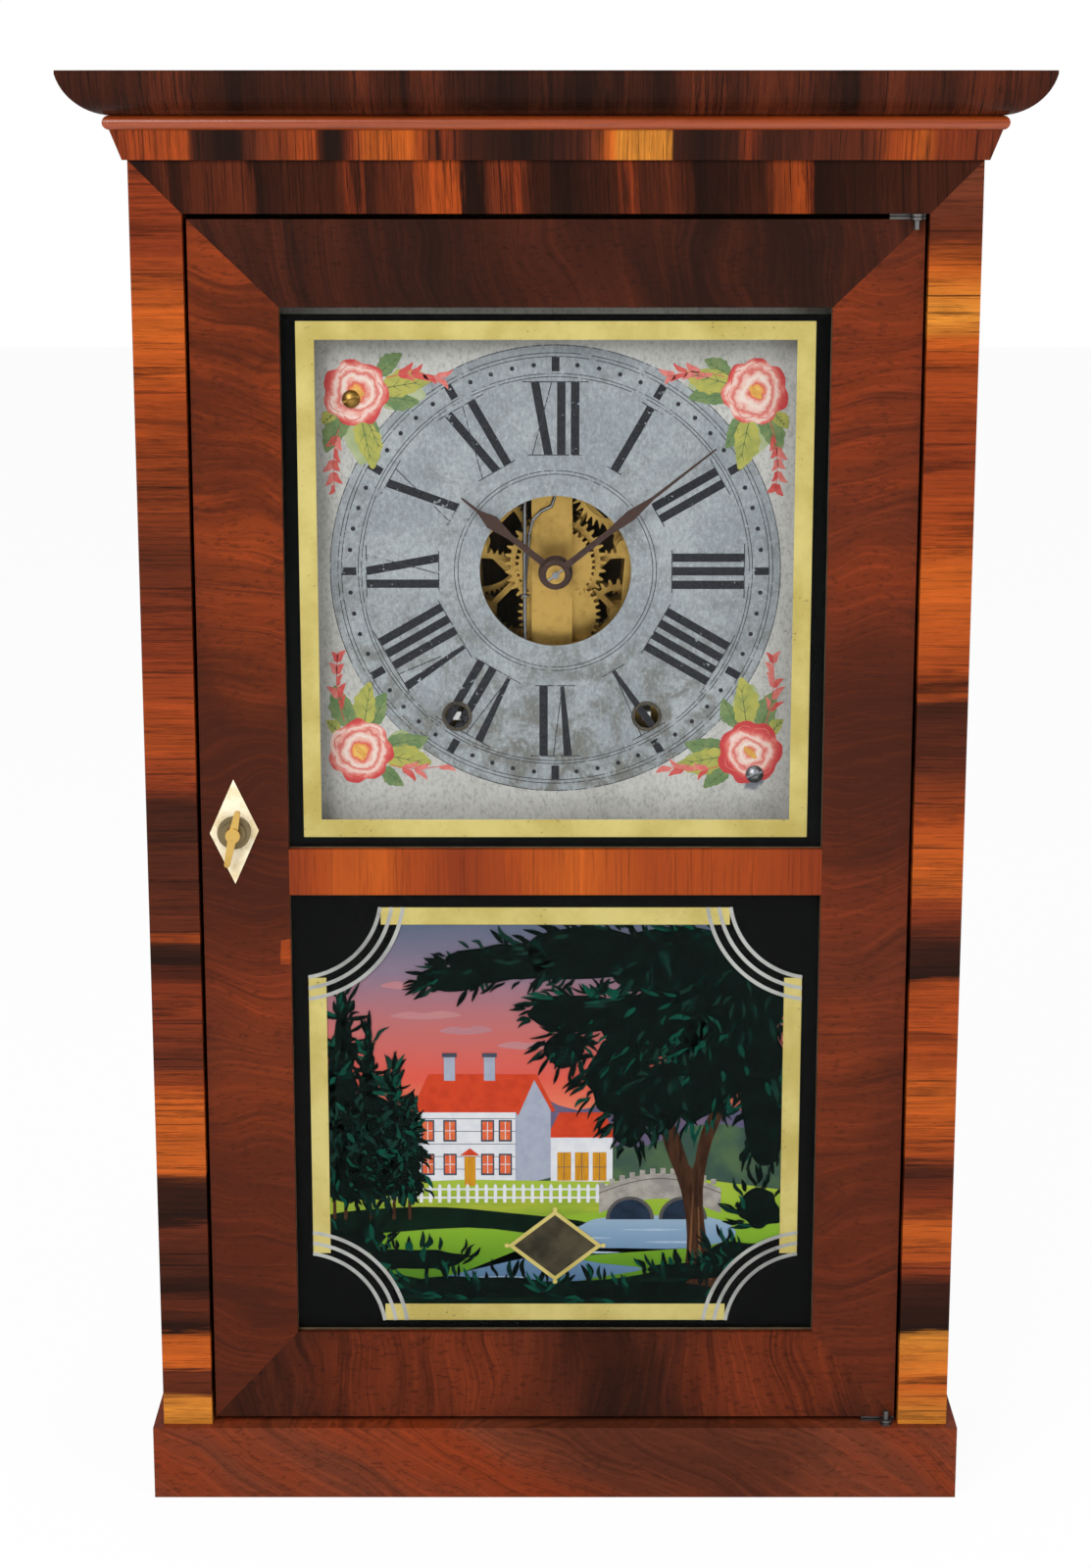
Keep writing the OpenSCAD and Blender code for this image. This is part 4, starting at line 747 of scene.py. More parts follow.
NODE_FINISHES: dict[str, Finish] = {node: finish for finish, nodes in (
    (PINE_BACK, "backboard"), (SIDES, "case_sides"), (PINE_INSIDE, "top_board bottom_board"),
    (FRIEZE, "frieze_rail"), (FASCIA, "canted_fascia"), (BEAD, "bead"), (CORNICE, "cornice"),
    (PLINTH, "plinth"), (HINGE_STEEL, "hinge_plates door_hinges"), (DOOR_LEFT, "door_stile_left"),
    (DOOR_RIGHT, "door_stile_right"), (DOOR_RAILS, "door_rails"), (CROSS_RAIL, "door_cross_rail"),
    (CLEAR, "upper_glass lower_tablet"), (PUTTY, "glass_putty"), (BONE, "escutcheon"),
    (BRONZE, "latch_rose"), (PINE, "dial_cleats"), (BRASS_DARK, "dial_screws rear_plate"),
    (GROMMET, "winding_grommets"), (BLUED, "minute_hand hour_hand"), (GONG_STEEL, "gong_wire"),
    (STEEL, "centre_arbor hand_pin plate_pins verge pendulum_rod hammer"),
    (BRASS, "latch_turn minute_wheel hour_wheel front_plate time_great_wheel time_second_wheel centre_wheel "
            "time_third_wheel escape_wheel pendulum_bob strike_great_wheel strike_second_wheel "
            "strike_third_wheel fly"),
    (PULLEY_WOOD, "time_drum strike_drum time_pulley strike_pulley"),
    (IRON, "gong_stand pulley_brackets time_weight strike_weight"),
    (CORD, "time_cord strike_cord cord_runs")) for node in nodes.split()}


def swing(radius: float, angle: float, centre: Point = (0.0, 0.0)) -> Point:
    """Gives the point at an angle, clockwise from straight up."""
    a = math.radians(angle)
    return (centre[0] + radius * math.sin(a), centre[1] + radius * math.cos(a))


def smooth(points: Sequence[Point], steps: int = 6) -> list[Point]:
    """Rounds a closed outline.

    Args:
        points: Corners that the curve passes.
        steps: Points for each span.

    Returns:
        The curve's points.
    """
    n, out = len(points), []
    for i in range(n):
        p = [points[(i + k - 1) % n] for k in range(4)]
        for s in range(steps):
            t = s / steps
            out.append(tuple(0.5 * (2 * b + (c - a) * t + (2 * a - 5 * b + 4 * c - d) * t * t
                                    + (3 * b - a - 3 * c + d) * t ** 3) for a, b, c, d in zip(*p)))
    return out


def turned(points: Iterable[Point], angle: float, move: Point = (0.0, 0.0)) -> list[Point]:
    """Turns an outline clockwise and moves it."""
    a = math.radians(angle)
    c, s = math.cos(a), math.sin(a)
    return [(x * c + z * s + move[0], z * c - x * s + move[1]) for x, z in points]


def rows(text: str) -> list[tuple[float, ...]]:
    """Reads rows of numbers, such as the points "24 127, 70 127"."""
    return [tuple(map(float, row.split())) for row in text.split(", ")]


def rect(left: float, right: float, low: float, high: float) -> list[Point]:
    """Gives a rectangle, counterclockwise."""
    return [(left, low), (right, low), (right, high), (left, high)]


def ring(radius: float, count: int = 24, centre: Point = (0.0, 0.0)) -> list[Point]:
    """Gives the points of a circle."""
    return [swing(radius, -360 * k / count, centre) for k in range(count)]


def stroke(start: Point, end: Point, width: float, tip: float | None = None) -> list[Point]:
    """Gives a straight stroke, as wide as width at its start and tip at its end."""
    dx, dz = end[0] - start[0], end[1] - start[1]
    length = math.hypot(dx, dz)
    nx, nz = -dz / length / 2, dx / length / 2
    last = width if tip is None else tip
    return [(start[0] - nx * width, start[1] - nz * width), (end[0] - nx * last, end[1] - nz * last),
            (end[0] + nx * last, end[1] + nz * last), (start[0] + nx * width, start[1] + nz * width)]


def leaf(length: float, width: float, bend: float = 0.0) -> list[Point]:
    """Gives a leaf that points up from the origin."""
    low, mid, high = length * 0.2, length * 0.5, length * 0.8
    right = [(0, 0), (width * 0.4, low), (width * 0.5 + bend, mid), (width * 0.28 + bend * 0.8, high)]
    left = [(bend * 0.2, length), (bend * 0.8 - width * 0.28, high), (bend - width * 0.5, mid),
            (-width * 0.4, low)]
    return smooth(right + left, 3)


def add_piece(name: str, vertices: Sequence[Point3], faces: Sequence[tuple[int, ...]],
              materials: Iterable[bpy.types.Material]) -> bpy.types.Object:
    """Makes a piece and puts it in the scene.

    Args:
        name: Its name.
        vertices: Its points, in metres.
        faces: Its faces, as numbers of points.
        materials: Its slots, in order.

    Returns:
        The piece.
    """
    mesh = bpy.data.meshes.new(name)
    mesh.from_pydata(vertices, [], faces)
    for material in materials:
        mesh.materials.append(material)
    piece = bpy.data.objects.new(name, mesh)
    bpy.context.scene.collection.objects.link(piece)
    LOG.info("%s: %d faces", name, len(faces))
    return piece


@dataclass
class Film:
    """Thin painted shapes on one plane, each a slab of paint.

    Layer 0 lies on the plane, and each further layer one step away from it.
    """

    name: str
    body: str
    plane: float
    step: float
    thick: float = 0.03
    vertices: list[Point3] = field(default_factory=list)
    faces: list[tuple[int, ...]] = field(default_factory=list)
    slots: list[int] = field(default_factory=list)
    finishes: list[Finish] = field(default_factory=list)

    def lay(self, outline: Sequence[Point], finish: Finish, layer: float = 0) -> None:
        """Adds a filled shape.

        Args:
            outline: Points in X and Z, either way round.
            finish: What it is painted with.
            layer: How many steps it lies from the plane.
        """
        area = sum(a[0] * b[1] - b[0] * a[1] for a, b in zip(outline, [*outline[1:], outline[0]]))
        points = list(outline) if area > 0 else list(reversed(outline))
        y, n, first = self.plane + layer * self.step, len(points), len(self.vertices)
        self.vertices += [(x * MM, (y - self.thick / 2) * MM, z * MM) for x, z in points]
        self.vertices += [(x * MM, (y + self.thick / 2) * MM, z * MM) for x, z in points]
        made = [tuple(range(first, first + n)), tuple(reversed(range(first + n, first + 2 * n)))]
        made += [(first + k, first + n + k, first + n + (k + 1) % n, first + (k + 1) % n) for k in range(n)]
        self.keep(made, finish)

    def band(self, outer: Sequence[Point], inner: Sequence[Point], finish: Finish, layer: float = 0,
             closed: bool = True) -> None:
        """Adds a strip between two lines of as many points, both counterclockwise."""
        n, y, first = len(outer), self.plane + layer * self.step, len(self.vertices)
        for depth in (y - self.thick / 2, y + self.thick / 2):
            for line in (outer, inner):
                self.vertices += [(x * MM, depth * MM, z * MM) for x, z in line]
        made: list[tuple[int, ...]] = []
        for k in range(n if closed else n - 1):
            j = (k + 1) % n
            a, b, c, d = first + k, first + j, first + n + j, first + n + k
            made += [(a, b, c, d), (d + 2 * n, c + 2 * n, b + 2 * n, a + 2 * n),
                     (b, a, a + 2 * n, b + 2 * n), (d, c, c + 2 * n, d + 2 * n)]
        if not closed:
            e, f = first, first + n - 1
            made += [(e, e + n, e + 3 * n, e + 2 * n), (f + n, f, f + 2 * n, f + 3 * n)]
        self.keep(made, finish)

    def keep(self, made: list[tuple[int, ...]], finish: Finish) -> None:
        """Stores faces with their finish."""
        if finish not in self.finishes:
            self.finishes.append(finish)
        self.faces += made
        self.slots += [self.finishes.index(finish)] * len(made)

    def build(self) -> None:
        """Makes the piece and lets it ride on its body."""
        piece = add_piece(self.name, self.vertices, self.faces, [f.material() for f in self.finishes])
        piece.data.polygons.foreach_set("material_index", self.slots)
        piece.data.validate()
        piece.data.update()
        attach(piece, self.body)


@dataclass(frozen=True)
class Spot:
    """Faces of a node near an axis that runs along Y, which take another finish."""

    finish: Finish
    centre: Point
    radius: float

    def holds(self, centre: Vector) -> bool:
        """Tells whether a face's centre lies near the axis."""
        x, _, z = centre / MM
        return math.hypot(x - self.centre[0], z - self.centre[1]) < self.radius


SPOTS: dict[str, tuple[Spot, ...]] = {
    "minute_hand": (Spot(BRASS, DIAL_CENTRE, 4.3),),
    # The arbor ends in the drums take the pale steel that carries a painted highlight.
    "time_drum": (Spot(STEEL_POLISHED_AND_HIGHLIGHT, TIME_DRUM, 3.6),),
    "strike_drum": (Spot(STEEL_POLISHED_AND_HIGHLIGHT, STRIKE_DRUM, 3.6),),
    "dial_screws": (Spot(STEEL, DIAL_SCREWS[1], 8.0),),
}


@dataclass
class Case:
    """The clock's own solids, each given its finish."""

    split: float = 0.0

    def dress(self) -> None:
        """Lays a finish on every node."""
        for name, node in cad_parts.items():
            slots, faces = node.data.materials, node.data.polygons
            slots.clear()
            if name == "front_stiles":
                slots.append(STILE_RIGHT.material())
                slots.append(STILE_LEFT.material())
                faces.foreach_set("material_index", [int(face.center.x < self.split) for face in faces])
            elif name in NODE_FINISHES:
                slots.append(NODE_FINISHES[name].material())
                for number, spot in enumerate(SPOTS.get(name, ()), 1):
                    slots.append(spot.finish.material())
                    for face in faces:
                        if spot.holds(face.center):
                            face.material_index = number
            LOG.info("dressed %s", name)


@dataclass
class Drive:
    """The twisted cords from the drums over the pulleys to the weights."""

    radius: float = 0.8
    pulley: Point = (126.0, 566.0)
    line: float = 12.0
    drum_line: float = 11.0
    depth: float = 23.2
    lay: float = 5.0
    end: float = 0.5
    lift: float = 330.0
    sides: int = 12

    def build(self) -> None:
        """Makes the four stretches of cord."""
        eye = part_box("time_cord")[0][2] / MM
        foot = (self.pulley[0] + self.line, eye)
        top = (foot[0], self.pulley[1] - self.end)
        rest = 1 - self.lift / (top[1] - eye)
        for side, name, drum in ((1, "time", TIME_DRUM), (-1, "strike", STRIKE_DRUM)):
            drop = self.twist(f"{name}_cord_drop", [foot, top], side)
            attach(drop, f"{name}_weight")
            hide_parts(f"{name}_cord")
            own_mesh(drop)
            run = self.twist(f"{name}_cord_run", self.route((side * drum[0], drum[1])), side)
            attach(run, "case")
            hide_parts("cord_runs")

    def route(self, drum: Point) -> list[Point]:
        """Gives the way from a drum up to its pulley and over it."""
        dx, dz = self.pulley[0] - drum[0], self.pulley[1] - drum[1]
        span = math.hypot(dx, dz)
        lean = math.atan2(dz, dx) + math.asin((self.drum_line - self.line) / span)
        start = (drum[0] + self.drum_line * math.cos(lean + math.pi / 2),
                 drum[1] + self.drum_line * math.sin(lean + math.pi / 2))
        turn = lean + math.pi / 2
        arc = [(self.pulley[0] + self.line * math.cos(turn * (1 - k / 24)),
                self.pulley[1] + self.line * math.sin(turn * (1 - k / 24))) for k in range(25)]
        return [start, *arc, (self.pulley[0] + self.line, self.pulley[1] - self.end)]

    def twist(self, name: str, way: list[Point], side: int) -> bpy.types.Object:
        """Sweeps a three-strand cord along flat points.

        Args:
            name: Name of the piece.
            way: Points in X and Z.
            side: 1, or -1 to mirror them in X.

        Returns:
            The piece.
        """
        fine: list[Point] = []
        for a, b in zip(way, way[1:]):
            count = max(1, round(math.dist(a, b) / 0.8))
            fine += [(a[0] + (b[0] - a[0]) * k / count, a[1] + (b[1] - a[1]) * k / count)
                     for k in range(count)]
        fine.append(way[-1])
        vertices, faces, gone, sides = [], [], 0.0, self.sides
        for k, (x, z) in enumerate(fine):
            a, b = fine[max(k - 1, 0)], fine[min(k + 1, len(fine) - 1)]
            length = math.dist(a, b)
            ux, uz = (b[0] - a[0]) / length, (b[1] - a[1]) / length
            gone += math.dist(fine[k - 1], (x, z)) if k else 0.0
            for j in range(sides):
                around = 2 * math.pi * j / sides
                r = self.radius * (0.86 + 0.12 * math.cos(3 * (around - 2 * math.pi * gone / self.lay / 3)))
                out, deep = r * math.cos(around), r * math.sin(around)
                vertices.append((side * (x + uz * out) * MM, (self.depth + deep) * MM, (z - ux * out) * MM))
            if k:
                low, high = (k - 1) * sides, k * sides
                faces += [(low + j, low + (j + 1) % sides, high + (j + 1) % sides, high + j)[::side]
                          for j in range(sides)]
        last = (len(fine) - 1) * sides
        faces += [tuple(range(sides))[::-side], tuple(range(last, last + sides))[::side]]
        piece = add_piece(name, vertices, faces, [CORD.material()])
        piece.data.polygons.foreach_set("use_smooth", [True] * len(faces))
        piece.data.update()
        return piece


@dataclass
class Dial:
    """The printed round and the painted corners."""

    radius: float = DIAL_ROUND
    centre: Point = DIAL_CENTRE
    line: float = 0.36
    numeral_outer: float = 0.838
    numeral_inner: float = 0.517
    thick_stroke: float = 3.7
    thin_stroke: float = 0.45
    foot_over: float = 2.4
    rose_at: tuple[Point, ...] = ((-86.5, 78.0), (86.4, 78.5), (-86.5, -80.4), (86.4, -81.0))

    def build(self) -> None:
        """Paints the plate, the round and the roses."""
        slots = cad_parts["dial"].data.materials
        slots.clear()
        slots.append(DialPaint("dial_paint").material())
        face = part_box("dial")[0][1] / MM
        ink = Paint("dial_ink", shade(30, 30, 36), shade(52, 54, 60), 0.5, 0.5, 500, worn=0.4)
        hair = Paint("dial_hairline", shade(48, 50, 56), shade(84, 88, 92), 0.6, 0.5, 700, worn=0.8)
        prints = Film("dial_print", "case", face - DIAL_LIFT, -DIAL_STEP)
        for share in (1.0, 0.966, 0.95, 0.876, 0.862, 0.45, 0.434):
            r = self.radius * share
            prints.band(ring(r, 144, self.centre), ring(r - self.line, 144, self.centre), hair)
        for minute in range(60):
            if minute % 5:
                prints.lay(ring(1.0, 12, swing(self.radius * 0.915, minute * 6, self.centre)), ink)
            else:
                ends = [swing(self.radius * s, minute * 6, self.centre) for s in (0.883, 0.946)]
                prints.lay(stroke(ends[0], ends[1], 3.4), ink)
        for hour, letters in enumerate("XII I II III IIII V VI VII VIII IX X XI".split()):
            self.numeral(prints, letters, hour * 30, ink, hair)
        prints.build()
        self.roses(face)

    def numeral(self, prints: Film, letters: str, angle: float, ink: Finish, hair: Finish) -> None:
        """Prints one numeral with its feet towards the centre.

        Args:
            prints: Where it goes.
            letters: Its strokes.
            angle: Its place, clockwise from the top.
            ink: Finish of the broad strokes.
            hair: Finish of the thin strokes.
        """
        low, high = self.radius * self.numeral_inner, self.radius * self.numeral_outer
        wide, thin = self.thick_stroke, self.thin_stroke
        widths = {"I": 6.0, "V": 10.4, "X": 11.0}
        total = sum(widths[c] for c in letters)
        place = -total / 2
        shapes: list[tuple[list[Point], Finish, float]] = []
        for letter in letters:
            w = widths[letter]
            left, right, mid = place, place + w, place + w / 2
            if letter == "I":
                shapes.append((stroke((mid, low), (mid, high), wide), ink, 0))
            elif letter == "V":
                shapes.append((stroke((mid, low + 0.4), (left + 2.6, high), wide * 0.5, wide), ink, 0))
                shapes.append((stroke((mid, low), (right - 1.4, high), thin), hair, 1))
            else:
                shapes.append((stroke((right - 2.6, low), (left + 2.6, high), wide), ink, 0))
                shapes.append((stroke((left + 1.4, low), (right - 1.2, high), thin), hair, 1))
            place += w
        for level, extra in ((low, 0.0), (high, self.foot_over)):
            end = total / 2 + extra + 0.6
            shapes.append((stroke((-end, level), (end, level), thin), hair, 1))
        for outline, finish, layer in shapes:
            prints.lay(turned(outline, angle, self.centre), finish, layer)

    def roses(self, face: float) -> None:
        """Paints a rose with leaves and sprigs in each corner."""
        rim = Paint("rose_rim", shade(206, 72, 68), shade(222, 118, 108), 0.6, 0.55, 300)
        pink = Paint("sprig_pink", shade(226, 132, 122), shade(206, 84, 80), 0.6, 0.55, 300)
        kinds = (Paint("leaf_green", shade(104, 132, 84), shade(140, 156, 100), 0.7, 0.6, 160),
                 Paint("leaf_yellow", shade(184, 180, 88), shade(142, 154, 80), 0.7, 0.6, 160),
                 Paint("leaf_wash", shade(158, 172, 122), shade(188, 194, 160), 0.8, 0.6, 90))
        vein = Paint("leaf_vein", shade(76, 102, 62), shade(112, 138, 88), 0.5, 0.6, 300)
        film = Film("dial_roses", "case", face - DIAL_LIFT, -DIAL_STEP)
        for k, (rx, rz) in enumerate(self.rose_at):
            draw = random.Random(40 + k)
            spot = (self.centre[0] + rx, self.centre[1] + rz)
            out = (1 if rx > 0 else -1, 1 if rz > 0 else -1)
            self.leaves(film, spot, out, kinds, vein, draw)
            self.sprigs(film, spot, out, (rim, pink), draw)
            turn = draw.uniform(0, 50)
            outline = []
            for i in range(7):
                outline += [swing(14.4 * draw.uniform(0.94, 1.03), turn + i * 51.4, spot),
                            swing(14.9 * draw.uniform(0.95, 1.02), turn + i * 51.4 + 20, spot),
                            swing(13.0, turn + i * 51.4 + 37, spot)]
            film.lay(smooth(outline, 3), RosePaint(f"rose_{k}", spot, 14.6, draw.uniform(0, 3)), 3)
            for i in range(7):
                arc = [swing(12.4 - abs(t - 8) * 0.07, turn + i * 51.4 + t, spot) for t in range(-16, 32, 8)]
                for a, b in zip(arc, arc[1:]):
                    film.lay(stroke(a, b, 0.35), rim if i % 2 else pink, 4)
            heart = smooth(rows("-3.4 -1.0, -1.0 -2.0, 3.6 0.2, 3.2 1.7, 0 1.4"), 4)
            film.lay(turned(heart, draw.uniform(20, 70), spot), Paint(
                "rose_heart", shade(232, 178, 84), shade(208, 138, 62), 0.6, 0.55, 400), 5)
        film.build()

    @staticmethod
    def toward(angle: float, out: tuple[int, int]) -> float:
        """Mirrors an angle into a corner: 0 points up or down out of the dial, 90 sideways out of it."""
        a = math.radians(angle)
        return math.degrees(math.atan2(out[0] * math.sin(a), out[1] * math.cos(a)))

    def leaves(self, film: Film, spot: Point, out: tuple[int, int], kinds: Sequence[Finish], vein: Finish,
               draw: random.Random) -> None:
        """Paints toothed leaves on a pale wash round one rose."""
        for angle, far, length, width, kind in (
                (184, 9, 21, 15, 2), (270, 9, 21, 15, 2), (158, 10, 20, 10, 0), (188, 11, 23, 11, 1),
                (208, 12, 17, 8.5, 0), (258, 11, 19, 9.5, 0), (284, 10, 22, 10.5, 1), (306, 12, 14, 7.5, 0),
                (134, 12, 9, 6, 1)):
            heading = self.toward(angle + draw.uniform(-6, 6), out)
            root = swing(far, heading, spot)
            size = draw.uniform(0.88, 1.1)
            shape = leaf(length * size, width * size, width * 0.12 * draw.choice((-1, 1)))
            if kind < 2:
                shape = [(x * (1.08 if i % 2 else 0.93), z) for i, (x, z) in enumerate(shape)]
            film.lay(turned(shape, heading, root), kinds[kind], 0.4 if kind == 2 else 1 + 0.3 * kind)
            if kind < 2:
                film.lay(turned(stroke((0, 1), (0, length * 0.8), 0.45, 0.2), heading, root), vein, 2)
                for step in (0.3, 0.5, 0.7):
                    for side in (-1, 1):
                        end = (side * width * 0.3 * (1.1 - step), length * (step + 0.14))
                        film.lay(turned(stroke((0, length * step), end, 0.3, 0.15), heading, root), vein, 2)

    def sprigs(self, film: Film, spot: Point, out: tuple[int, int], reds: Sequence[Finish],
               draw: random.Random) -> None:
        """Paints a fern from the rose along each of the two edges."""
        for start, first, bend, steps, spread, size in (
                (172, 164, 5.0, 5, 38, 8.0), (278, 284, -8.0, 4, 32, 9.0)):
            heading, at = first, swing(13.5, self.toward(start, out), spot)
            at = (at[0] + out[0] * (5.0 if steps == 5 else 0), at[1] + out[1] * (0 if steps == 5 else 4.5))
            for i in range(steps):
                way = self.toward(heading, out)
                ahead = swing(5.4, way, at)
                film.lay(stroke(at, ahead, 0.42, 0.34), reds[0], 1.5)
                at, heading = ahead, heading + bend
                for side in (-1, 1):
                    if draw.random() < 0.12:
                        continue
                    long = (size - 0.5 * i) * draw.uniform(0.75, 1.15)
                    shape = leaf(long, 2.5 * draw.uniform(0.8, 1.2), -side * 0.8)
                    angle = way + side * spread * draw.uniform(0.8, 1.2)
                    film.lay(turned(shape, angle, at), draw.choice(reds), 1.6)


@dataclass
class DoorGlass:
    """Gold band and black border on the back of the upper pane, and the painted lower pane."""

    opening: float = 117.2
    band_outer: float = 110.9
    band_width: float = 7.9
    upper: tuple[float, float] = (300.7, 534.0)
    upper_band: tuple[float, float] = (305.0, 531.0)
    lower: tuple[float, float] = (73.8, 279.6)
    lower_band: tuple[float, float] = (77.4, 272.8)
    corner: float = 39.5
    corner_out: float = 6.0

    def build(self) -> None:
        """Paints both panes."""
        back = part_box("upper_glass")[1][1] / MM + GLASS_LIFT
        black = BackPaint("border_black", shade(8, 8, 8), shade(14, 13, 12), 0.5, 0.3, 120)
        gold = GoldLeaf("band_gold")
        film = Film("upper_border", "door", back, GLASS_STEP)
        low, high = self.upper_band
        outer, w = self.band_outer, self.band_width
        film.band(rect(-outer, outer, low, high), rect(w - outer, outer - w, low + w, high - w), gold, 0)
        film.band(rect(-self.opening, self.opening, *self.upper),
                  rect(0.3 - outer, outer - 0.3, low + 0.3, high - 0.3), black, 1)
        film.build()
        Tablet(self, back, black, gold).build()


@dataclass
class Tablet:
    """A painted view behind the lower pane: a farmhouse, a stream with a bridge, and trees."""

    door: DoorGlass
    back: float
    black: Finish
    gold: Finish
    lozenge: tuple[float, float, float, float] = (0.0, 113.5, 21.5, 17.0)
    arc_width: float = 1.7
    film: Film = field(init=False)

    def build(self) -> None:
        """Paints the border, then what lies behind it."""
        self.film = Film("tablet_painting", "door", self.back, GLASS_STEP)
        self.border()
        self.window()
        self.trees()
        self.bushes()
        self.house()
        self.bridge()
        self.land()
        self.film.build()

    def border(self) -> None:
        """Paints the band, the hollow corners, their silver arcs and the black ground."""
        d, film = self.door, self.film
        silver = GoldLeaf("arc_silver", shade(196, 196, 190), shade(150, 150, 146), shade(70, 70, 66))
        low, high = d.lower_band
        outer, w, r, away = d.band_outer - 0.9, d.band_width, d.corner, d.corner_out
        end = outer - r + away + 1.0
        for z0, z1 in ((low, low + w), (high - w, high)):
            film.lay(rect(-end, end, z0, z1), self.gold, 1)
        for x0, x1 in ((-outer, w - outer), (outer - w, outer)):
            film.lay(rect(x0, x1, low + outer - end, high - outer + end), self.gold, 1)
        for sx, sz, cz in ((1, 1, high), (-1, 1, high), (-1, -1, low), (1, -1, low)):
            centre = (sx * (outer + away), cz + sz * away)
            for radius in (r, r + 5.0, r + 10.0):
                lines = [self.hollow(centre, (sx, sz), radius, q) for q in (radius, radius - self.arc_width)]
                if sx * sz < 0:
                    lines = [list(reversed(line)) for line in lines]
                film.band(lines[0], lines[1], silver, 0, closed=False)
            film.lay([(sx * outer, cz), *self.hollow(centre, (sx, sz), r + 9, r + 9)], self.black, 2)
        film.band(rect(-d.opening, d.opening, *d.lower),
                  rect(0.3 - outer, outer - 0.3, low + 0.3, high - 0.3), self.black, 2)
        film.lay(rect(1 - d.opening, d.opening - 1, d.lower[0] + 1, d.lower[1] - 1),
                 BackPaint("painting_back", shade(60, 50, 42)), 22)

    def hollow(self, centre: Point, side: tuple[int, int], edge: float, radius: float) -> list[Point]:
        """Gives an arc round a corner of the pane.

        Args:
            centre: Its centre, a little outside of the corner.
            side: 1 or -1 for right or left, and 1 or -1 for top or bottom.
            edge: Radius at which it would just span from one edge of the pane to the other.
            radius: Its own radius.

        Returns:
            Its points.
        """
        first = math.degrees(math.asin(self.door.corner_out / edge))
        angles = [math.radians(first + (90 - 2 * first) * k / 24) for k in range(25)]
        return [(centre[0] - side[0] * radius * math.cos(a), centre[1] - side[1] * radius * math.sin(a))
                for a in angles]

    def window(self) -> None:
        """Paints the diamond window with its gold edge and four corner dots."""
        x, z, hw, hh = self.lozenge
        shapes = [[(x - hw * s, z), (x, z - hh * s), (x + hw * s, z), (x, z + hh * s)] for s in (1.0, 0.87)]
        self.film.band(shapes[0], shapes[1], self.gold, 0)
        dark = BackPaint("window_dark", shade(46, 42, 34), shade(92, 84, 64), 0.8, 0.2, 60)
        self.film.lay(shapes[1], dark, 0.5)
        for dx, dz in ((1, 0), (-1, 0), (0, 1), (0, -1)):
            self.film.lay(ring(1.1, 10, (x + dx * (hw + 0.4), z + dz * (hh + 0.4))), self.gold, -0.4)

    def foliage(self, centre: Point, size: Point, count: int, seed: int, droop: float, layer: float,
                tint: int = 0) -> None:
        """Dabs a mass of leaves.

        Args:
            centre: Middle of the mass.
            size: Half width and half height.
            count: How many dabs lie on it.
            seed: Seed of its scatter.
            droop: Angle that the dabs hang at, clockwise from straight up.
            layer: Its layer.
            tint: Which pair of greens it takes.
        """
        draw = random.Random(seed)
        deep = BackPaint("foliage_deep", shade(5, 13, 11), shade(8, 26, 20), 0.6, 0.4, 150)
        greens = [BackPaint("foliage_mid", shade(8, 42, 34), shade(5, 22, 18), 0.6, 0.4, 240),
                  BackPaint("foliage_lit", shade(12, 78, 60), shade(8, 42, 34), 0.6, 0.4, 240),
                  BackPaint("foliage_grey", shade(22, 56, 46), shade(8, 30, 24), 0.6, 0.4, 240)]
        blob = [swing(draw.uniform(0.82, 1.06), -k * 24) for k in range(15)]
        mass = [(centre[0] + u * size[0], centre[1] + v * size[1]) for u, v in blob]
        self.film.lay(smooth(mass, 3), deep, layer)
        for k in range(count):
            a, rim = draw.uniform(0, 360), draw.random() < 0.68
            rad = draw.uniform(0.8, 1.04) if rim else math.sqrt(draw.random()) * 0.8
            spot = swing(1.0, a)
            root = (centre[0] + spot[0] * rad * size[0], centre[1] + spot[1] * rad * size[1])
            turn = (a - droop + 180) % 360 - 180
            angle = droop + turn * (0.5 if rim else 0.15) + draw.uniform(-16, 16)
            long = min(draw.uniform(5.5, 12.5), size[1] * 1.1 + 3) if rim else draw.uniform(4, 8)
            shape = leaf(long, draw.uniform(1.2, 2.4), draw.uniform(-1.3, 1.3))
            pick = draw.random()
            kind = deep if pick < 0.62 else greens[tint] if pick < 0.86 else greens[(tint + 1) % 3]
            self.film.lay(turned(shape, angle, root), kind, layer - 0.1 - 0.8 * k / max(count, 1))

    def trees(self) -> None:
        """Paints a great tree at the right, and a row of tall ones at the left."""
        bark = BackPaint("tree_bark", shade(74, 46, 30), shade(34, 20, 14), 0.8, 0.5, 220, stretch=UPRIGHT)
        lit = BackPaint("tree_bark_lit", shade(122, 82, 50), shade(74, 46, 30), 0.6, 0.5, 260,
                        stretch=UPRIGHT)
        trunk = rows(
            "52 92, 58 98, 60 118, 57 140, 50 160, 44 182, 48 184, 56 166, 62 150, 66 168, 76 188, "
            "80 186, 71 164, 67 140, 69 116, 74 98, 82 91, 66 94")
        self.film.lay(smooth(trunk, 3), bark, 9)
        for x0, z0, x1, z1 in ((61, 99, 62.5, 138), (66, 104, 65, 132), (71, 97, 68.5, 112)):
            self.film.lay(stroke((x0, z0), (x1, z1), 1.3, 0.5), lit, 8.9)
        for x, z, wide, high, count, droop in rows(
                "84 238 25 25 90 200, 58 247 34 18 100 230, 18 251 34 13 90 258, -24 247 26 9 70 262, "
                "-46 240 15 6 36 250, 44 218 29 17 90 205, 80 206 25 23 90 190, 10 224 24 9 60 240, "
                "28 194 15 18 60 195, 94 176 11 26 60 182, 48 184 11 17 44 190, 64 192 14 20 50 186, "
                "33 172 8 13 34 188, 4 207 9 9 30 205"):
            seed = int(abs(x * 7 + z * 3)) + 5
            self.foliage((x, z), (wide, high), int(count), seed, droop, 7 - (seed % 3), seed % 3)
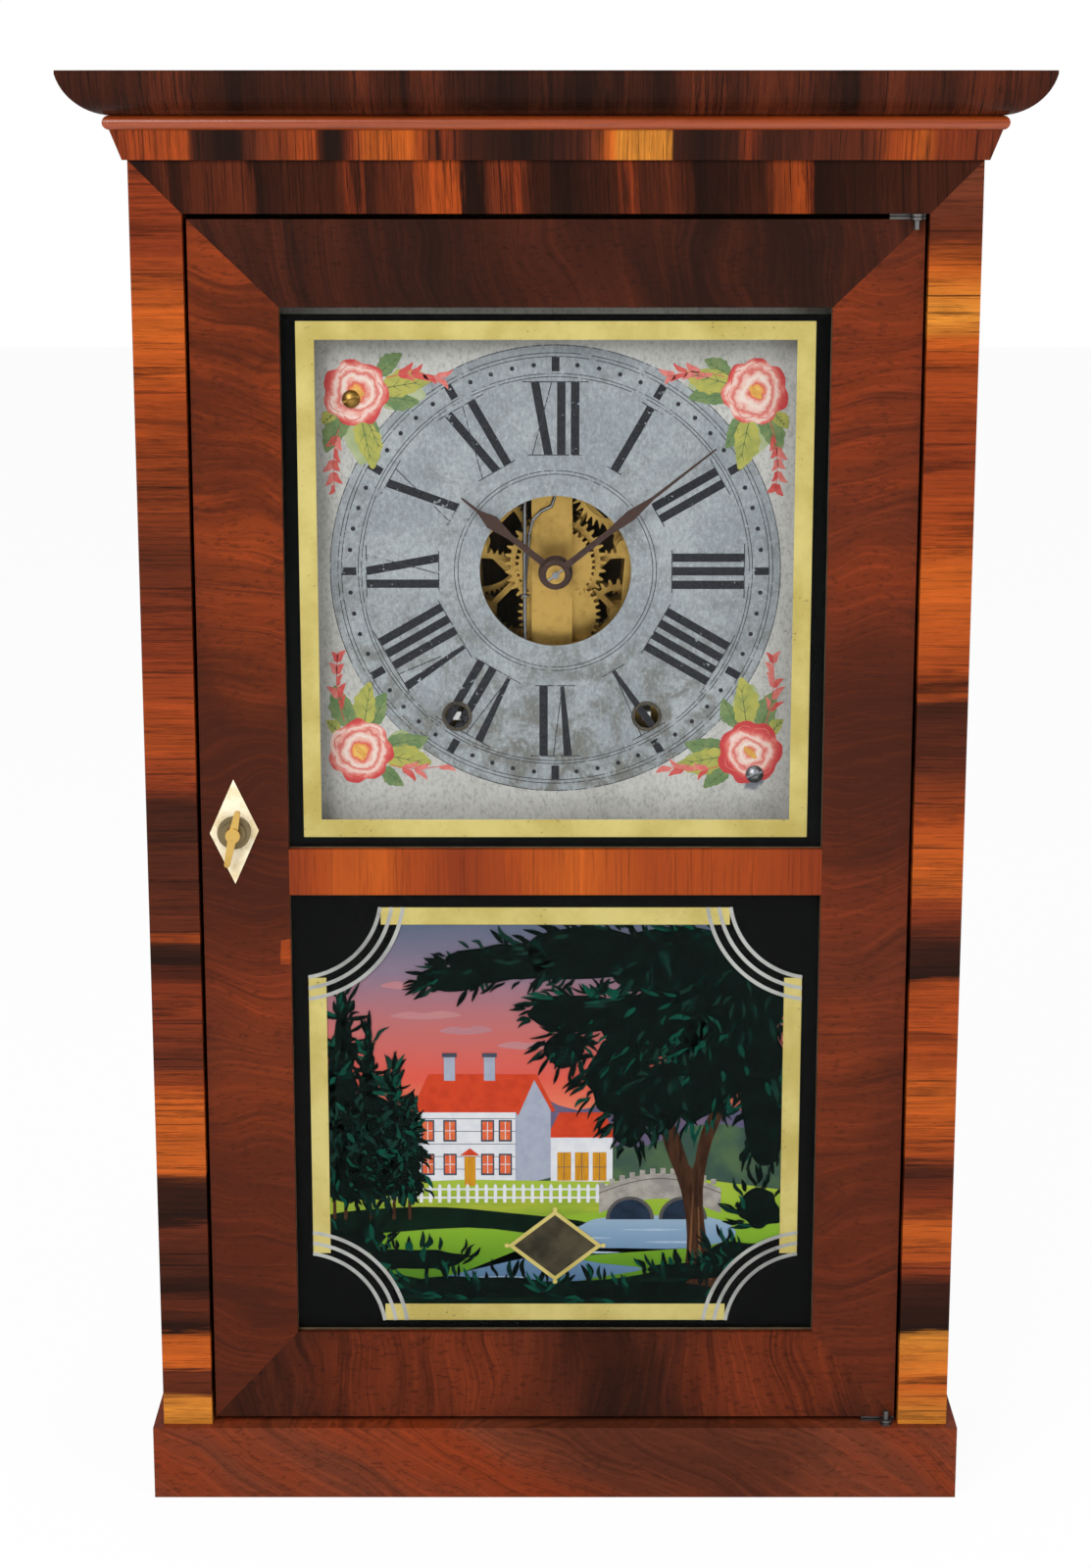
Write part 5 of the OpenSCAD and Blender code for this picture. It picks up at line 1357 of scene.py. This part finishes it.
        for x, top, half in rows("-95 226 9.5, -84 208 8.5, -100 200 7, -73 192 7.5, -66 176 6"):
            self.film.lay(stroke((x, 126), (x, 160), 1.6, 0.8), bark, 9)
            for k in range(8):
                z = 142 + (top - 142) * k / 7
                wide = half * (1.1 - 0.85 * (k / 7) ** 1.5)
                droop = 8 if k > 5 else 180
                self.foliage((x, z), (wide, (top - 142) / 9), 16, int(abs(x) * 10 + k), droop, 7, k % 3)

    def bushes(self) -> None:
        """Paints bushes at the water's edge and on the bank in front."""
        for x, z, wide, high, count in rows(
                "-64 107 26 5 40, -34 93 38 6 60, 34 91 44 6 60, 86 108 18 8 40, -90 116 14 7 30, "
                "92 132 10 10 24, -92 92 16 8 36, 60 101 20 4 30"):
            self.foliage((x, z), (wide, high), int(count), int(abs(x) * 3 + 11), 352, 6, 0)

    def house(self) -> None:
        """Paints a white farmhouse with a red roof, and a barn with ochre doors."""
        film = self.film
        wall = BackPaint("house_wall", shade(232, 232, 234), shade(206, 210, 220), 0.5, 0.4, 160)
        side = BackPaint("house_side", shade(172, 178, 194), shade(150, 156, 176), 0.5, 0.4, 160)
        roof = BackPaint("house_roof", shade(214, 72, 40), shade(186, 56, 34), 0.6, 0.4, 220)
        line = BackPaint("house_line", shade(78, 82, 96))
        pane = BackPaint("house_pane", shade(222, 96, 60), shade(236, 140, 84), 0.5, 0.3, 300)
        door = BackPaint("barn_door", shade(216, 152, 40), shade(184, 118, 30), 0.6, 0.4, 240,
                         stretch=(3, 0.4))
        film.lay(rect(-62, -18, 142, 178), wall, 16)
        film.lay(rows("-18 142, -2 146, -2 178, -10 194, -18 178"), side, 16)
        film.lay([(-65, 177), (-17, 177), (-10, 195), (-57, 195)], roof, 15)
        film.lay(rows("-17.6 176.4, -10 195, -8.6 195, 0 178, -1.4 177, -9.4 192.4, -16.6 175.6"), roof, 14)
        for z in (150, 156, 162, 168, 174):
            film.lay(stroke((-62, z), (-18, z), 0.28), line, 15)
        for x in (-50, -32):
            film.lay(rect(x, x + 5, 192, 203), side, 14)
            film.lay(rect(x - 0.8, x + 5.8, 203, 205), line, 13)
        for x in (-57.5, -47.5, -30.5, -22.5):
            for z in (148, 164):
                film.lay(rect(x - 3, x + 3, z - 0.9, z + 9.4), line, 14.6)
                film.lay(rect(x - 2.3, x + 2.3, z, z + 8.6), pane, 14.2)
                film.lay(stroke((x, z), (x, z + 8.6), 0.35), wall, 13.9)
                film.lay(stroke((x - 2.3, z + 4.3), (x + 2.3, z + 4.3), 0.35), wall, 13.9)
        film.lay(rect(-41, -36, 142, 156), door, 14.4)
        film.lay([(-43, 156.5), (-34, 156.5), (-38.5, 160)], roof, 14.1)
        film.lay(rect(-2, 26, 144, 166), wall, 17)
        film.lay([(-4, 165), (28, 165), (22, 177), (2, 177)], roof, 16.4)
        for x in (1, 9, 17):
            film.lay(rect(x, x + 6.2, 144.5, 158), door, 16)
            film.lay(stroke((x + 3.1, 144.5), (x + 3.1, 158), 0.3), line, 15.6)
            film.lay(stroke((x, 151), (x + 6.2, 151), 0.3), line, 15.6)
        for k in range(25):
            x = -74 + k * 4.2
            film.lay([(x, 134), (x + 1.5, 134), (x + 1.5, 142), (x + 0.75, 143.2), (x, 142)], wall, 13)
        for z in (136.4, 140.4):
            film.lay(stroke((-75, z), (29, z), 0.9), wall, 13.2)

    def bridge(self) -> None:
        """Paints a stone bridge of two arches over the stream."""
        stone = BackPaint("bridge_stone", shade(176, 170, 160), shade(128, 124, 120), 0.7, 0.5, 170)
        joint = BackPaint("bridge_joint", shade(92, 88, 86))
        film = self.film
        top = [(20 + 4.6 * k, 141 + 7 * math.sin(math.pi * k / 12)) for k in range(13)]
        film.band([(x, z - 12) for x, z in top], top, stone, 12, closed=False)
        for centre in ((34, 126), (58, 126)):
            arch = [swing(9.5, a, centre) for a in range(-90, 91, 12)]
            film.lay(arch, BackPaint("bridge_shade", shade(30, 40, 56), shade(44, 62, 84), 0.7, 0.4, 120), 11)
            outer, inner = ([swing(q, -a, centre) for a in range(-90, 91, 12)] for q in (11.0, 9.5))
            film.band(outer, inner, joint, 10.8, closed=False)
        for k in range(12):
            x, z = top[k]
            film.lay(stroke((x, z - 2.4), (top[k + 1][0], top[k + 1][1] - 2.4), 0.4), joint, 11)
            film.lay(rect(x, x + 2.4, z, z + 2.6), stone, 11.6)

    def land(self) -> None:
        """Paints water, lawns, hills, clouds and sky, back to front."""
        film = self.film
        water = Graded("stream_water", 84, 132, ((0.0, shade(58, 84, 116)), (0.5, shade(104, 136, 168)),
                                               (0.8, shade(140, 168, 192)), (1.0, shade(168, 186, 200))))
        glint = BackPaint("water_glint", shade(176, 196, 214), shade(130, 158, 188), 0.5, 0.3, 200)
        grass = Graded("lawn_green", 84, 146, ((0.0, shade(30, 64, 28)), (0.3, shade(92, 140, 36)),
                                             (0.6, shade(132, 176, 48)), (1.0, shade(170, 190, 66))))
        lawn = BackPaint("lawn_yellow", shade(172, 182, 60), shade(120, 160, 50), 0.7, 0.5, 60,
                         stretch=(0.5, 2.5))
        bank = BackPaint("bank_dark", shade(8, 24, 16), shade(14, 40, 26), 0.7, 0.5, 110)
        hill = BackPaint("hill_far", shade(96, 92, 122), shade(126, 104, 128), 0.7, 0.5, 60)
        near = BackPaint("hill_near", shade(60, 84, 74), shade(92, 116, 74), 0.7, 0.5, 70)
        cloud = BackPaint("cloud_pale", shade(196, 134, 134), shade(176, 122, 134), 0.6, 0.5, 60,
                          stretch=(0.5, 2.0))
        sky = Graded("sky_dusk", 172, 266, ((0.0, shade(238, 140, 104)), (0.22, shade(226, 94, 78)),
                                          (0.48, shade(196, 112, 110)), (0.75, shade(138, 120, 138)),
                                          (1.0, shade(94, 106, 128))))
        stream = rows(
            "24 127, 70 127, 82 118, 60 112, 20 112, -10 108, -52 98, -86 90, -100 84, -20 84, 10 96, "
            "40 102, 14 106, -2 116, 10 122")
        film.lay(smooth(stream, 4), water, 12.6)
        for x0, x1, z in rows("2 26 117, 30 58 121, -36 -12 98, 40 70 115, -70 -52 91, 8 30 110"):
            mid = (x0 + x1) / 2
            film.lay(smooth([(x0, z), (mid, z - 0.5), (x1, z), (mid, z + 0.5)], 3), glint, 12.2)
        film.lay(smooth(rows(
            "-106 80, 106 80, 106 112, 84 113, 54 103, 24 97, -16 96, -60 97, -106 106"), 4), bank, 12.0)
        film.lay(smooth(rows(
            "-104 128, -60 132, -20 129, 16 124, 0 118, -40 122, -104 118"), 4), bank, 12.9)
        film.lay(smooth(rows("-20 139, -90 136, -104 130, -60 127, -10 126, 30 133"), 4), lawn, 13.6)
        film.lay(rows("-104 82, 104 82, 104 140, 60 146, 20 144, -40 145, -104 142"), grass, 14.9)
        film.lay(smooth(rows("-106 140, -80 166, -40 160, 0 168, 36 160, 70 172, 106 160, 106 138"), 4),
                 near, 18)
        film.lay(smooth(rows(
            "-106 150, -88 186, -60 176, -24 192, 10 178, 48 190, 84 178, 106 188, 106 150"), 4), hill, 19)
        for x, z, w in ((-58, 222, 16), (-40, 215, 12), (-12, 208, 14), (-66, 236, 12)):
            puff = [(x - w, z), (x - w / 2, z + 2.4), (x, z + 1.6), (x + w / 2, z + 2.8), (x + w, z + 0.4),
                    (x, z - 1.4)]
            film.lay(smooth(puff, 3), cloud, 20)
        film.lay(rect(-106, 106, 150, 268), sky, 21)


@dataclass
class Studio:
    """Camera, lamps and a pale floor."""

    eye: Point3 = (-4.34, -1365.8, 635.6)
    pitch: float = 12.89
    lens: float = 103.15
    aim: Point3 = (0.0, 0.0, 0.3)
    floor_half: float = 6.0

    def camera(self) -> None:
        """Sets the camera where the photograph was taken from."""
        data = bpy.data.cameras.new("view")
        data.sensor_fit = "HORIZONTAL"
        data.sensor_width = 36.0
        data.lens = self.lens
        data.clip_end = 50.0
        view = bpy.data.objects.new("view", data)
        view.location = Vector(self.eye) * MM
        view.rotation_euler = (math.radians(90 - self.pitch), 0.0, 0.0)
        bpy.context.scene.collection.objects.link(view)
        bpy.context.scene.camera = view

    def lamp(self, name: str, spot: Point3, size: float, watts: float) -> None:
        """Hangs one soft square lamp."""
        data = bpy.data.lights.new(name, "AREA")
        data.size = size
        data.energy = watts
        light = bpy.data.objects.new(name, data)
        light.location = spot
        light.rotation_euler = (Vector(self.aim) - Vector(spot)).to_track_quat("-Z", "Y").to_euler()
        bpy.context.scene.collection.objects.link(light)

    def build(self) -> None:
        """Sets up the whole studio."""
        self.camera()
        scene = bpy.context.scene
        scene.view_settings.view_transform = "Standard"
        self.lamp("lamp_key", (-1.0, -2.0, 1.6), 1.4, 46)
        self.lamp("lamp_fill", (1.6, -1.7, 1.0), 1.6, 20)
        self.lamp("lamp_top", (0.1, -0.3, 2.2), 1.4, 12)
        self.sky()
        self.floor()

    def sky(self) -> None:
        """Gives soft light all round, and white where the camera sees past the object."""
        world = bpy.data.worlds.new("room")
        bpy.context.scene.world = world
        g = Graph(world)
        seen = g.node("ShaderNodeLightPath", output="Is Camera Ray")
        through = g.node("ShaderNodeLightPath", output="Is Transmission Ray")
        soft = g.node("ShaderNodeBackground", inputs={0: (0.92, 0.96, 1.0), 1: 0.42})
        white = g.node("ShaderNodeBackground", inputs={0: (1.0, 1.0, 1.0), 1: 1.0})
        mix = g.node("ShaderNodeMixShader", inputs={0: seen.larger(through), 1: soft, 2: white})
        g.feed(g.tree.nodes["World Output"].inputs[0], mix)

    def floor(self) -> None:
        """Lays a pale floor that keeps the object's shadow."""
        g = Graph(bpy.data.materials.new("floor_pale"))
        dust = g.mottle(3, 2)
        g.surface(g.blend(dust, (0.93, 0.93, 0.93), (0.95, 0.95, 0.95)), 0.9, Specular_IOR_Level=0.1)
        glow = g.node("ShaderNodeEmission", inputs={0: (1.0, 1.0, 1.0), 1: 1.0})
        seen = g.node("ShaderNodeLightPath", output="Is Camera Ray")
        lit = Value(g, g.shader.outputs[0])
        mix = g.node("ShaderNodeMixShader", inputs={0: seen * 0.945, 1: lit, 2: glow})
        g.feed(g.tree.nodes["Material Output"].inputs[0], mix)
        size = self.floor_half
        corners = [(x, y, 0.0) for x, y in rect(-size, size, -size, size)]
        floor = add_piece("floor", corners, [(0, 1, 2, 3)], [g.owner])


def main() -> None:
    """Builds every part in order."""
    logging.basicConfig(level=logging.INFO, format="%(name)s: %(message)s")
    Studio().build()
    Case().dress()
    Dial().build()
    DoorGlass().build()
    Drive().build()


if __name__ == "__main__":
    main()
